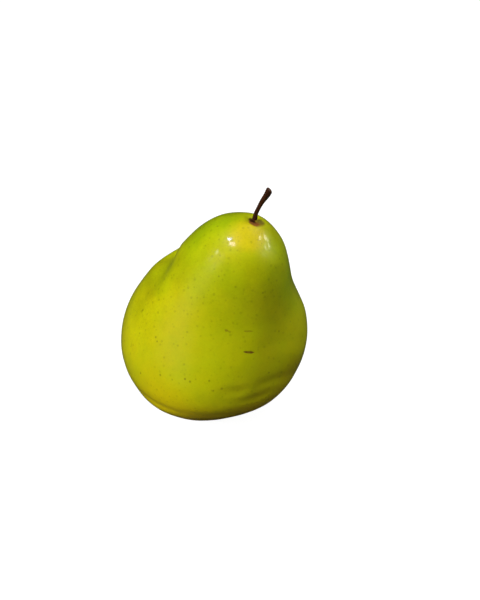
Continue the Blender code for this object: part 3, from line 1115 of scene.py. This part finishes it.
        colour = made.ramp(self.ripe(made, form), self.ripening)
        colour = made.blend(1.0, colour, made.grey(shade), Mixing.TINT)
        colour = made.blend(dots, colour, self.lenticel, Mixing.TINT)
        colour, cork_and_pit_shade = self.lay_cork_and_pit_shade(made, form, colour, grain)
        colour = made.blend(scars, colour, self.scar_brown)

        dull = made.math(Sum.MAXIMUM, cork_and_pit_shade, scars)
        plain = made.total(made.times(clouds, self.cloud_rough), self.plain_rough)
        rough = made.total(plain, made.times(dull, self.dull_rough))
        bare = made.total(dull, made.times(dots, self.wax_on_dots))
        dot_rise, scar_rise, cork_rise = self.heights
        lump_size, lump_detail, lump_rise = self.lumps
        made.relief(
            made.times(made.grain(lump_size, lump_detail), lump_rise),
            made.times(made.dotted(self.pores), self.pores.strength),
            made.times(dots, dot_rise),
            made.times(scars, scar_rise),
            made.times(made.times(cork_and_pit_shade, grain), cork_rise),
        )
        made.set(Base_Color=colour, Roughness=rough, Coat_Weight=made.ease(bare, 0.0, 1.0, self.wax, 0.0))
        made.set(Coat_Roughness=self.wax_rough, IOR=self.ior)
        return made.material


@dataclass(frozen=True)
class BarkFinish:
    """Dark reddish-brown stem bark, streaked lengthwise, with a paler torn tip."""

    dark: Colour = (0.010, 0.004, 0.002, 1.0)  # colour in the grooves
    brown: Colour = (0.037, 0.0105, 0.004, 1.0)  # colour of the bark
    warm: Colour = (0.095, 0.025, 0.007, 1.0)  # colour of the ridges
    scar: Colour = (0.14, 0.075, 0.045, 1.0)  # colour of the torn tip
    stops: tuple[float, float, float] = (0.3, 0.5, 0.72)  # where in the streaks the first three colours lie
    squeeze: float = 0.12  # how much the streaks are drawn out along the stem
    streaks: tuple[float, float, float] = (0.42, 4.0, 0.6)  # (size, detail, roughness) of the streaks
    streak_rise: float = 0.22  # their height
    blotches: Clouds = Clouds(2.2, 0.6, 0.4, 0.04)  # plainer blotches, whose strength is their height
    # (low, high, least, most) by which they cover the streaks.
    blotch_cover: tuple[float, float, float, float] = (0.1, 0.9, 0.0, 0.5)
    dots: Dots = Dots(1.1, 0.22, 0.4, 0.5)  # pale dots
    dot_rise: float = 0.04  # their height
    torn_edge: Edge = Edge(0.75, 0.8, 0.5)  # extent of the torn tip
    torn_cover: float = 0.7  # how much it covers the bark
    # (low, high, roughest, smoothest) by the streaks.
    rough: tuple[float, float, float, float] = (0.3, 0.7, 0.68, 0.46)
    ior: float = 1.45

    def material(self, effects: Effects, foot: Vector, tip: Vector) -> bpy.types.Material:
        """Build the bark's material.

        Args:
            effects: Shared node groups.
            foot: Where the stem stands, in millimetres.
            tip: The middle of its torn tip.

        Returns:
            The material.
        """
        made = Finish("stem_bark", effects)
        along = (tip - foot).normalized()
        upright = (0.0, -math.atan2(along.x, along.z), 0.0)
        turned = made.node("ShaderNodeMapping", {"Vector": made.place, "Rotation": upright}).outputs[0]
        squeezed = {"Vector": turned, "Scale": (1.0, 1.0, self.squeeze)}
        drawn_out = made.node("ShaderNodeMapping", squeezed).outputs[0]
        streak = made.noise(drawn_out, *self.streaks).outputs["Fac"]
        blotch = made.cloudy(self.blotches)
        dots = made.dotted(self.dots)
        torn = made.patch(tip, self.torn_edge)
        colour = made.ramp(streak, tuple(zip(self.stops, (self.dark, self.brown, self.warm))))
        colour = made.blend(made.ease(blotch, *self.blotch_cover), colour, self.brown)
        colour = made.blend(made.times(dots, self.dots.strength), colour, self.warm)
        colour = made.blend(made.times(torn, self.torn_cover), colour, self.scar)
        made.relief(
            made.times(streak, self.streak_rise),
            made.times(blotch, self.blotches.strength),
            made.times(dots, self.dot_rise),
        )
        made.set(Base_Color=colour, Roughness=made.ease(streak, *self.rough), IOR=self.ior)
        return made.material


@dataclass(frozen=True)
class DriedFinish:
    """Dry, brittle brown of the calyx, with dark blotches and pale crumbled spots."""

    dark: Colour = (0.022, 0.010, 0.005, 1.0)  # colour in its folds
    brown: Colour = (0.095, 0.042, 0.016, 1.0)  # colour of the sepals
    pale: Colour = (0.24, 0.15, 0.07, 1.0)  # colour of the crumbled spots
    stops: tuple[float, float, float] = (0.3, 0.52, 0.75)  # where in the grain these colours lie
    grain: tuple[float, float, float] = (0.7, 5.0, 0.65)  # (size, detail, roughness) of the grain
    grain_rise: float = 0.2  # its height
    blotches: Clouds = Clouds(1.8, 0.4, 0.5, 0.6)  # dark blotches, whose strength is how much they cover
    crumbs: Dots = Dots(0.6, 0.12, 0.5, 0.6)  # pale spots
    crumb_rise: float = 0.05  # their height
    rough: tuple[float, float, float, float] = (0.2, 0.8, 0.95, 0.75)  # (low, high, roughest, smoothest) by the grain
    ior: float = 1.45

    def material(self, effects: Effects) -> bpy.types.Material:
        """Build the calyx's material.

        Args:
            effects: Shared node groups.

        Returns:
            The material.
        """
        made = Finish("dried_calyx", effects)
        grain = made.grain(*self.grain)
        crumbs = made.dotted(self.crumbs)
        cover = made.ease(made.cloudy(self.blotches), 0.0, 1.0, 0.0, self.blotches.strength)
        colour = made.ramp(grain, tuple(zip(self.stops, (self.dark, self.brown, self.pale))))
        colour = made.blend(cover, colour, self.dark)
        colour = made.blend(made.times(crumbs, self.crumbs.strength), colour, self.pale)
        made.relief(made.times(grain, self.grain_rise), made.times(crumbs, self.crumb_rise))
        made.set(Base_Color=colour, Roughness=made.ease(grain, *self.rough), IOR=self.ior)
        return made.material


def add_piece(name: str, mesh: bpy.types.Mesh, material: bpy.types.Material, node: str) -> bpy.types.Object:
    """Put a finished piece where a solid of the frame stands.

    Args:
        name: The piece's name.
        mesh: Its mesh, in the shared frame.
        material: Its material.
        node: The solid that it stands for.

    Returns:
        The piece.
    """
    piece = bpy.data.objects.new(name, mesh)
    bpy.context.scene.collection.objects.link(piece)
    piece.data.materials.append(material)
    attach(piece, BODY)
    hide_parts(node)
    return piece


@dataclass(frozen=True)
class Fruit:
    """The fruit with its fine skin."""

    form: PearForm
    rings: int = 236  # rings of the mesh, from the pit to the basin
    sides: int = 316  # points in a ring
    inset: float = 0.06  # how far the skin stays inside the smooth form, because the solid's facets do so too
    lumps: Ripples = Ripples(9.0, 20.0, 14, 5)  # low lumps of growth
    lump_depth: float = 0.16  # their depth
    dimples: Ripples = Ripples(2.6, 5.0, 18, 11)  # finer unevenness
    dimple_depth: float = 0.022  # its depth
    rib_count: int = 5  # soft ribs in the basin
    rib_depth: float = 0.5  # their depth
    rib_reach: float = 9.0  # how far from the middle of the basin they reach
    basin_top: float = 10.0  # height below which a point belongs to the base
    rib_start: float = 2.0  # distance from its middle over which they rise
    # How much of their depth is even, in the ribs and in the finer ones between them.
    rib_shares: tuple[float, float, float] = (0.5, 0.3, 0.2)

    def points(self) -> np.ndarray:
        """Lay out the fine skin, in the shared frame.

        Returns:
            Points in millimetres by ring and side.
        """
        points = self.form.ring_points(self.rings, self.sides)
        outward = grid_normals(points)
        depth = self.inset + self.lump_depth * self.lumps.at(points) + self.dimple_depth * self.dimples.at(points)
        away = np.hypot(points[..., 0], points[..., 1])
        turns = np.arctan2(points[..., 1], points[..., 0])
        even, broad, fine = self.rib_shares
        finer = 2 * self.rib_count + 1
        waves = even + broad * np.cos(self.rib_count * turns) + fine * np.cos(finer * turns + 1.0)
        hollow = smooth(away / self.rib_start) * np.exp(-((away / self.rib_reach) ** 2))
        inside = points[..., 2] < self.basin_top
        depth = depth + np.where(inside, self.rib_depth * waves * hollow, 0.0)
        points = points - outward * depth[..., None]
        points[0] = points[0, 0]
        points[-1] = points[-1, 0]
        points = points + self.form.foot
        points[..., 2] = np.maximum(points[..., 2], 0.0)
        return points

    def build(self, finish: SkinFinish, effects: Effects) -> bpy.types.Object:
        """Build the fruit and dress it.

        Args:
            finish: Its skin.
            effects: Shared node groups.

        Returns:
            The piece.
        """
        mesh = ring_mesh("fruit_skin", self.points())
        return add_piece("fruit_skin", mesh, finish.material(effects, self.form), "pear_fruit")


@dataclass(frozen=True)
class Stem:
    """The woody stem, with its ridged bark, swollen foot and torn slanted tip."""

    form: PearForm  # the pear's form, in whose pit it stands
    # Its middle line as (to the right, up) from the bottom of the pit.
    line: tuple[tuple[float, float], ...] = (
        (0.0, 0.4), (0.5, 3.2), (1.5, 5.7), (2.95, 8.6), (4.8, 11.6), (6.1, 14.4),
    )
    line_steps: int = 200  # points of the smoothed line
    radius: float = 0.88  # its radius at its thinnest
    foot_flare: float = 0.22  # how much wider the foot is
    foot_reach: float = 2.4  # how far the foot's flare reaches
    tip_flare: float = 0.58  # how much wider the tip is
    tip_reach: float = 6.0  # how far the tip's flare reaches
    tip_slant: float = 0.35  # how steeply the tip is torn
    slant_reach: float = 3.0  # how far down the slant fades out
    end_rounding: float = 0.95  # rounding of both ends
    rings: int = 190  # rings along its side
    cap_rings: int = 14  # rings of each end
    sides: int = 96  # points in a ring
    inset: float = 0.01  # how far the bark stays inside the solid
    # (count round the stem, depth) of its lengthwise ridges.
    ridges: tuple[tuple[int, float], ...] = ((5, 0.045), (9, 0.03), (17, 0.015))
    ridge_twist: float = 50.0  # how far the ridges turn from foot to tip
    ridge_sway: tuple[float, float] = (0.8, 9.0)  # (radians, rate) by which they sway on the way
    ridge_spread: float = 0.7  # how far each count of ridges starts from the last, in radians for each ridge
    dish: float = 0.22  # how deep the torn tip is hollow
    dish_edge: float = 0.8  # share of the rounding that stays plain round it

    def side_radius(self, run: np.ndarray, length: float) -> np.ndarray:
        """Find the plain radius of the side.

        Args:
            run: Distances along the stem.
            length: Its whole length.

        Returns:
            The radii, flared at both ends.
        """
        foot = self.foot_flare * np.exp(-((run / self.foot_reach) ** 2))
        tip = self.tip_flare * np.exp(-(((length - run) / self.tip_reach) ** 2))
        return self.radius + foot + tip

    def points(self) -> np.ndarray:
        """Lay out the bark, in the shared frame.

        Returns:
            Points in millimetres by ring and side, from the foot to the tip.
        """
        line = curve_points(self.line, self.line_steps)
        run = np.concatenate([[0.0], np.cumsum(np.hypot(*np.diff(line, axis=0).T))])
        length = float(run[-1])
        quarter = np.linspace(0.0, np.pi / 2.0, self.cap_rings, endpoint=False)
        rounding = self.end_rounding * (1.0 - np.cos(quarter))
        middle = np.linspace(self.end_rounding, length - self.end_rounding, self.rings)
        places = np.concatenate([rounding, middle, length - rounding[::-1]])
        to_end = np.minimum(places, length - places)
        closing = np.sqrt(1.0 - np.clip(1.0 - to_end / self.end_rounding, 0.0, 1.0) ** 2)

        turns = np.linspace(0.0, TURN, self.sides, endpoint=False)[None, :]
        share = (places / length)[:, None]
        bark = np.full((len(places), self.sides), self.inset)
        sway, rate = self.ridge_sway
        for count, depth in self.ridges:
            phase = count * (turns + math.radians(self.ridge_twist) * share) + self.ridge_spread * count
            bark += depth * (0.5 - 0.5 * np.cos(phase + sway * np.sin(rate * share + count)))
        side = self.side_radius(places, length)
        radius = np.maximum(side[:, None] - bark, 0.0) * closing[:, None]

        centre_x = np.interp(places, run, line[:, 0])
        centre_z = np.interp(places, run, line[:, 1])
        heading = np.arctan2(np.gradient(centre_x, places), np.gradient(centre_z, places))[:, None]
        slant = self.tip_slant * np.exp(-(((length - places) / self.slant_reach) ** 2))[:, None]
        dip = self.dish * smooth(1.0 - closing / self.dish_edge) * (places > length / 2.0)
        rightwards = radius * np.cos(turns)
        backwards = radius * np.sin(turns)
        forwards = -slant * rightwards - dip[:, None]
        x = centre_x[:, None] + rightwards * np.cos(heading) + forwards * np.sin(heading)
        z = centre_z[:, None] - rightwards * np.sin(heading) + forwards * np.cos(heading)
        return np.stack([x, backwards, z], axis=-1) + self.form.pit_bottom

    def build(self, finish: BarkFinish, effects: Effects) -> bpy.types.Object:
        """Build the stem and dress it.

        Args:
            finish: Its bark.
            effects: Shared node groups.

        Returns:
            The piece.
        """
        points = self.points()
        foot = Vector(points[0, 0].tolist())
        tip = Vector(points[-1, 0].tolist())
        mesh = ring_mesh("stem_bark", points, flip=True)
        return add_piece("stem_bark", mesh, finish.material(effects, foot, tip), "pear_stem")


@dataclass(frozen=True)
class Calyx:
    """The dried calyx under the base: five curled sepals round a hub with withered stamens."""

    form: PearForm  # the pear's form, in whose basin it sits
    gap: float = 0.45  # how far it sits below the skin
    count: int = 5  # number of sepals
    turn: float = 28.0  # azimuth of the first one
    hub_radius: float = 2.0
    sepal_length: float = 4.0  # how far a sepal reaches beyond it
    sepal_point: float = 1.5  # how pointed a sepal is
    thickness: float = 0.6  # of a sepal
    hub_thickness: float = 1.5
    hub_spread: float = 1.6  # spread of the hub's thickness
    curl: float = 0.9  # how far a sepal's tip curls down
    rings: int = 44  # rings of each face
    sides: int = 360  # points in a ring
    wrinkle: float = 0.14  # depth of the sepals' wrinkles
    veins: float = 35.0  # lengthwise veins round the calyx
    vein_share: float = 0.6  # how much of the wrinkles they make up
    folds: float = 2.6  # how closely the crosswise folds lie, in radians a millimetre
    uneven: float = 0.12  # how much shorter the shortest sepal is
    edge_power: int = 6  # how late a sepal thins towards its edge
    least_thickness: float = 0.15  # of a sepal
    stamens: int = 17  # how many withered ones there are
    stamen_ring: float = 1.25  # radius of the ring in which they stand
    stamen_length: float = 1.7  # their greatest length
    stamen_radius: float = 0.13  # their radius at the foot
    stamen_sides: int = 10  # points in a stamen's ring
    stamen_rings: int = 9  # rings of a stamen
    stamen_root: float = 0.35  # how deep its foot is sunk in the hub
    stamen_taper: float = 0.45  # how much thinner its end is
    stamen_seed: int = 23  # seed of the stamens' random bends and lengths

    def points(self) -> np.ndarray:
        """Lay out the sepals and the hub, in the shared frame.

        Returns:
            Points in millimetres by ring and side, from the middle of the top to the middle of the underside.
        """
        turns = np.linspace(0.0, TURN, self.sides, endpoint=False)
        wave = 0.5 + 0.5 * np.cos(self.count * (turns - math.radians(self.turn)))
        shorter = 1.0 - self.uneven * (0.5 + 0.5 * np.sin(2.0 * turns + 1.1))
        reach = self.hub_radius + self.sepal_length * wave**self.sepal_point * shorter
        share = np.linspace(0.0, 1.0, self.rings)[:, None]
        radius = share * reach
        longest = self.hub_radius + self.sepal_length
        curl = self.curl * (radius / longest) ** 2
        top = self.form.basin_height(radius) - self.gap - curl
        hub = (self.hub_thickness - self.thickness) * np.exp(-((radius / self.hub_spread) ** 2))
        veins = 0.5 + 0.5 * np.cos(self.veins * turns + 2.0 * np.sin(3.0 * radius))
        folds = 0.5 + 0.5 * np.sin(self.folds * radius + 3.0 * np.sin(self.count * turns))
        wrinkled = self.vein_share * veins + (1.0 - self.vein_share) * folds
        worn = self.wrinkle * wrinkled * smooth(radius / self.hub_radius)
        edge = np.sqrt(1.0 - share**self.edge_power)
        bottom = top - np.maximum(self.thickness + hub - worn, self.least_thickness) * edge
        x = radius * np.cos(turns)
        y = radius * np.sin(turns)
        upper = np.stack([x, y, top], axis=-1)
        lower = np.stack([x, y, bottom], axis=-1)
        place = np.array([*self.form.base_at, 0.0])
        return np.concatenate([upper, lower[-2::-1]]) + place

    def stamen(self, index: int, hub_bottom: float, random: np.random.Generator) -> np.ndarray:
        """Lay out one withered stamen.

        Args:
            index: Its number round the ring.
            hub_bottom: Height of the hub's underside.
            random: Where its bend and length are drawn from.

        Returns:
            Points in millimetres by ring and side.
        """
        turn = TURN * (index + random.uniform(-0.3, 0.3)) / self.stamens
        ring = self.stamen_ring * random.uniform(0.55, 1.1)
        length = self.stamen_length * random.uniform(0.55, 1.0)
        outward = random.uniform(-0.5, 0.9)
        sideways = random.uniform(-0.6, 0.6)
        run = np.linspace(0.0, 1.0, self.stamen_rings)
        lean = ring + outward * run**2
        centre = np.stack(
            [
                lean * math.cos(turn) - sideways * run**2 * math.sin(turn),
                lean * math.sin(turn) + sideways * run**2 * math.cos(turn),
                hub_bottom + self.stamen_root - length * run,
            ],
            axis=-1,
        )
        around = np.linspace(0.0, TURN, self.stamen_sides, endpoint=False)
        radius = self.stamen_radius * (1.0 - self.stamen_taper * run) * np.sqrt(np.clip(1.0 - run**12, 0.0, 1.0))
        radius[0] = 0.0
        rings = np.repeat(centre[:, None, :], self.stamen_sides, axis=1)
        rings[..., 0] += radius[:, None] * np.cos(around)
        rings[..., 1] += radius[:, None] * np.sin(around)
        return rings + np.array([*self.form.base_at, 0.0])

    def build(self, finish: DriedFinish, effects: Effects) -> bpy.types.Object:
        """Build the calyx and dress it.

        Args:
            finish: Its dried surface.
            effects: Shared node groups.

        Returns:
            The piece.
        """
        points = self.points()
        random = np.random.default_rng(self.stamen_seed)
        hub_bottom = float(points[-1, 0, 2])
        meshes = [ring_mesh("calyx_sepals", points)]
        for index in range(self.stamens):
            meshes.append(ring_mesh("stamen", self.stamen(index, hub_bottom, random)))
        joined = bpy.data.meshes.new("dried_calyx")
        corners: list[list[float]] = []
        faces: list[tuple[int, ...]] = []
        for mesh in meshes:
            start = len(corners)
            corners += [list(vertex.co) for vertex in mesh.vertices]
            faces += [tuple(start + k for k in face.vertices) for face in mesh.polygons]
            bpy.data.meshes.remove(mesh)
        joined.from_pydata(corners, [], faces)
        joined.shade_smooth()
        joined.update()
        return add_piece("calyx_sepals", joined, finish.material(effects), "pear_calyx")


class Lights(Enum):
    """What a lamp lights on the pear."""

    COLOUR = "colour"
    GLINT = "glint"


@dataclass(frozen=True)
class Lamp:
    """A rectangular lamp."""

    name: str
    lights: Lights  # whether it lights the colour or makes a glint
    aim: tuple[float, float, float]  # the place it points at, in millimetres
    towards: tuple[float, float, float]  # direction from there to the lamp
    width: float  # its width in metres
    height: float  # its height in metres
    power: float  # its power in watts
    colour: tuple[float, float, float] = (1.0, 1.0, 1.0)  # colour of its light
    upright: tuple[float, float, float] = (0.0, 0.0, 1.0)  # direction along which its height lies
    distance: float = 1.0  # its distance in metres

    def hang(self) -> None:
        """Put the lamp in the scene."""
        data = bpy.data.lights.new(self.name, "AREA")
        data.shape = "RECTANGLE"
        data.size = self.width
        data.size_y = self.height
        data.energy = self.power
        data.color = self.colour
        lamp = bpy.data.objects.new(self.name, data)
        back = Vector(self.towards).normalized()
        across = Vector(self.upright).cross(back).normalized()
        lamp.location = Vector(self.aim) * MM + back * self.distance
        lamp.rotation_euler = Matrix((across, back.cross(across), back)).transposed().to_euler()
        lamp.visible_camera = False
        lamp.visible_glossy = self.lights is Lights.GLINT
        lamp.visible_diffuse = self.lights is Lights.COLOUR
        bpy.context.scene.collection.objects.link(lamp)


@dataclass(frozen=True)
class Studio:
    """The pale floor, the lamps, the room's dim light and the camera."""

    lamps: tuple[Lamp, ...]
    floor_size: float = 6.0  # side of the floor in metres
    floor_colour: Colour = (0.2, 0.2, 0.2, 1.0)  # its colour as the camera sees it
    floor_glow: float = 0.96  # how much of it shows without light
    floor_bounce: Colour = (0.21, 0.148, 0.02, 1.0)  # its colour in the light that it throws on the pear
    floor_gloss: Colour = (0.03, 0.03, 0.02, 1.0)  # its colour in the pear's gloss
    room_light: Colour = (0.01, 0.01, 0.01, 1.0)  # colour of the room's light on the pear
    room_gloss: float = 0.006  # how bright the room is in the pear's gloss
    elevation: float = 30.0  # how far the camera looks down
    distance: float = 0.6  # its distance in metres
    lens: float = 86.0  # its focal length in millimetres
    target: tuple[float, float, float] = (11.13, 1.93, 48.35)  # the place it looks at, in millimetres
    nearest_seen: float = 0.01  # distance in metres from which it sees things

    def lay_floor(self) -> None:
        """Lay the floor, which looks pale and throws a warm light."""
        half = self.floor_size / 2.0
        corners = [(-half, -half, 0.0), (half, -half, 0.0), (half, half, 0.0), (-half, half, 0.0)]
        mesh = bpy.data.meshes.new("floor")
        mesh.from_pydata(corners, [], [(0, 1, 2, 3)])
        floor = bpy.data.objects.new("floor", mesh)
        material = bpy.data.materials.new("pale_floor")
        material.use_nodes = True
        material.node_tree.nodes.clear()
        sheet = NodeSheet(material.node_tree)
        matt = sheet.node("ShaderNodeBsdfDiffuse", {"Color": self.floor_colour}).outputs[0]
        glow = sheet.node("ShaderNodeEmission", {"Color": WHITE, "Strength": self.floor_glow}).outputs[0]
        seen = sheet.node("ShaderNodeAddShader", {0: matt, 1: glow}).outputs[0]
        path = sheet.node("ShaderNodeLightPath")
        bounce = sheet.blend(path.outputs["Is Glossy Ray"], self.floor_bounce, self.floor_gloss)
        thrown = sheet.node("ShaderNodeBsdfDiffuse", {"Color": bounce}).outputs[0]
        mixed = sheet.node("ShaderNodeMixShader", {0: path.outputs["Is Camera Ray"], 1: thrown, 2: seen}).outputs[0]
        sheet.node("ShaderNodeOutputMaterial", {"Surface": mixed})
        mesh.materials.append(material)
        bpy.context.scene.collection.objects.link(floor)

    def fill_room(self) -> None:
        """Make the room white behind the pear and dim all round it."""
        world = bpy.data.worlds.new("studio_room")
        world.use_nodes = True
        world.node_tree.nodes.clear()
        sheet = NodeSheet(world.node_tree)
        path = sheet.node("ShaderNodeLightPath")
        gloss = (self.room_gloss, self.room_gloss, self.room_gloss, 1.0)
        thrown = sheet.blend(path.outputs["Is Glossy Ray"], self.room_light, gloss)
        colour = sheet.blend(path.outputs["Is Camera Ray"], thrown, WHITE)
        room = sheet.node("ShaderNodeBackground", {"Color": colour, "Strength": 1.0}).outputs[0]
        sheet.node("ShaderNodeOutputWorld", {"Surface": room})
        bpy.context.scene.world = world

    def set_camera(self) -> None:
        """Put up the camera and make it the scene's."""
        data = bpy.data.cameras.new("camera")
        data.lens = self.lens
        data.clip_start = self.nearest_seen
        camera = bpy.data.objects.new("camera", data)
        tilt = math.radians(self.elevation)
        back = Vector((0.0, -math.cos(tilt), math.sin(tilt)))
        camera.location = Vector(self.target) * MM + back * self.distance
        camera.rotation_euler = (math.pi / 2.0 - tilt, 0.0, 0.0)
        bpy.context.scene.collection.objects.link(camera)
        bpy.context.scene.camera = camera

    def set_up(self) -> None:
        """Set up the whole studio."""
        self.lay_floor()
        self.fill_room()
        for lamp in self.lamps:
            lamp.hang()
        self.set_camera()
        bpy.context.scene.view_settings.view_transform = "Standard"


MIDDLE = (0.0, 0.0, 45.0)
CROWN_LEFT = (7.2, -14.3, 85.4)
CROWN_FRONT = (8.2, -16.0, 84.2)
CROWN_PANE = (19.2, -11.9, 85.1)
CROWN_RIGHT = (21.2, -11.2, 84.2)
CROWN_RIGHT_LOW = (21.8, -14.0, 81.0)
NECK_LEFT = (1.2, -17.4, 80.3)
COOL = (0.86, 1.0, 0.94)
PALE = (1.0, 0.95, 0.78)
SKY = (0.42, 0.55, 1.0)
ROSE = (1.0, 0.72, 0.95)
ROOM_LAMPS = (
    Lamp("key", Lights.COLOUR, MIDDLE, (-0.65, -0.515, 0.56), 0.5, 0.5, 9.9),
    Lamp("high_back", Lights.COLOUR, MIDDLE, (0.43, 0.25, 0.87), 0.5, 0.5, 6.2),
    Lamp("right_fill", Lights.COLOUR, MIDDLE, (0.82, 0.0, 0.57), 0.5, 0.5, 1.95),
    Lamp("low_left", Lights.COLOUR, MIDDLE, (-0.8, -0.58, 0.14), 0.5, 0.5, 1.5, (1.0, 0.94, 0.8)),
)
# Name, aim, direction, width, height, power, colour and upright of each glint's lamp.
GLINTS = (
    ("glint_top", CROWN_LEFT, (-0.238, -0.086, 0.967), 0.076, 0.095, 0.95, SKY, (0.14, 0.98, 0.14)),
    ("glint_under", CROWN_FRONT, (-0.192, -0.293, 0.937), 0.165, 0.165, 1.0, ROSE, (0.18, 0.93, 0.34)),
    ("window_dash", CROWN_PANE, (0.718, 0.006, 0.696), 0.085, 0.117, 0.3, PALE, (-0.41, 0.81, 0.43)),
    ("window_pane", CROWN_RIGHT, (0.858, 0.2, 0.473), 0.21, 0.12, 0.42, PALE, (-0.27, 0.96, 0.1)),
    ("window_bright", CROWN_RIGHT, (0.844, 0.152, 0.514), 0.09, 0.093, 0.18, PALE, (-0.14, 0.99, -0.05)),
    ("window_low_left", CROWN_RIGHT_LOW, (0.885, 0.003, 0.465), 0.10, 0.04, 0.08, PALE, (-0.21, 0.88, 0.42)),
    ("window_low_right", CROWN_RIGHT_LOW, (0.92, 0.133, 0.37), 0.05, 0.09, 0.1, PALE, (-0.07, 0.98, -0.18)),
    ("window_sill", CROWN_RIGHT_LOW, (0.923, 0.017, 0.384), 0.18, 0.04, 0.03, PALE, (-0.13, 0.96, 0.26)),
    ("window_tail", CROWN_RIGHT_LOW, (0.875, -0.193, 0.444), 0.13, 0.10, 0.03, PALE, (-0.12, 0.79, 0.6)),
    ("window_haze", CROWN_RIGHT_LOW, (0.88, -0.05, 0.47), 0.35, 0.35, 0.09, PALE),
    ("fleck", NECK_LEFT, (-0.641, -0.376, 0.67), 0.08, 0.055, 0.085, COOL, (-0.21, 0.92, 0.33)),
    ("fleck_streak", NECK_LEFT, (-0.684, -0.362, 0.633), 0.08, 0.08, 0.012, COOL, (-0.05, 0.88, 0.47)),
    ("fleck_left", NECK_LEFT, (-0.749, -0.382, 0.541), 0.05, 0.05, 0.015, COOL, (-0.07, 0.87, 0.49)),
    ("fleck_low", NECK_LEFT, (-0.651, -0.57, 0.502), 0.05, 0.07, 0.015, COOL, (-0.37, 0.82, 0.44)),
    ("fleck_right", NECK_LEFT, (-0.519, -0.597, 0.612), 0.06, 0.14, 0.02, COOL, (-0.15, 0.76, 0.63)),
)
LAMPS = ROOM_LAMPS + tuple(Lamp(name, Lights.GLINT, *rest) for name, *rest in GLINTS)


def main() -> None:
    """Build the pear's pieces in order, then the studio."""
    logging.basicConfig(level=logging.INFO, format="%(message)s")
    effects = Effects()
    form = PearForm()
    pieces = (
        Fruit(form).build(SkinFinish(), effects),
        Stem(form).build(BarkFinish(), effects),
        Calyx(form).build(DriedFinish(), effects),
    )
    for piece in pieces:
        LOG.info("%s: %d faces", piece.name, len(piece.data.polygons))
    Studio(LAMPS).set_up()


if __name__ == "__main__":
    main()
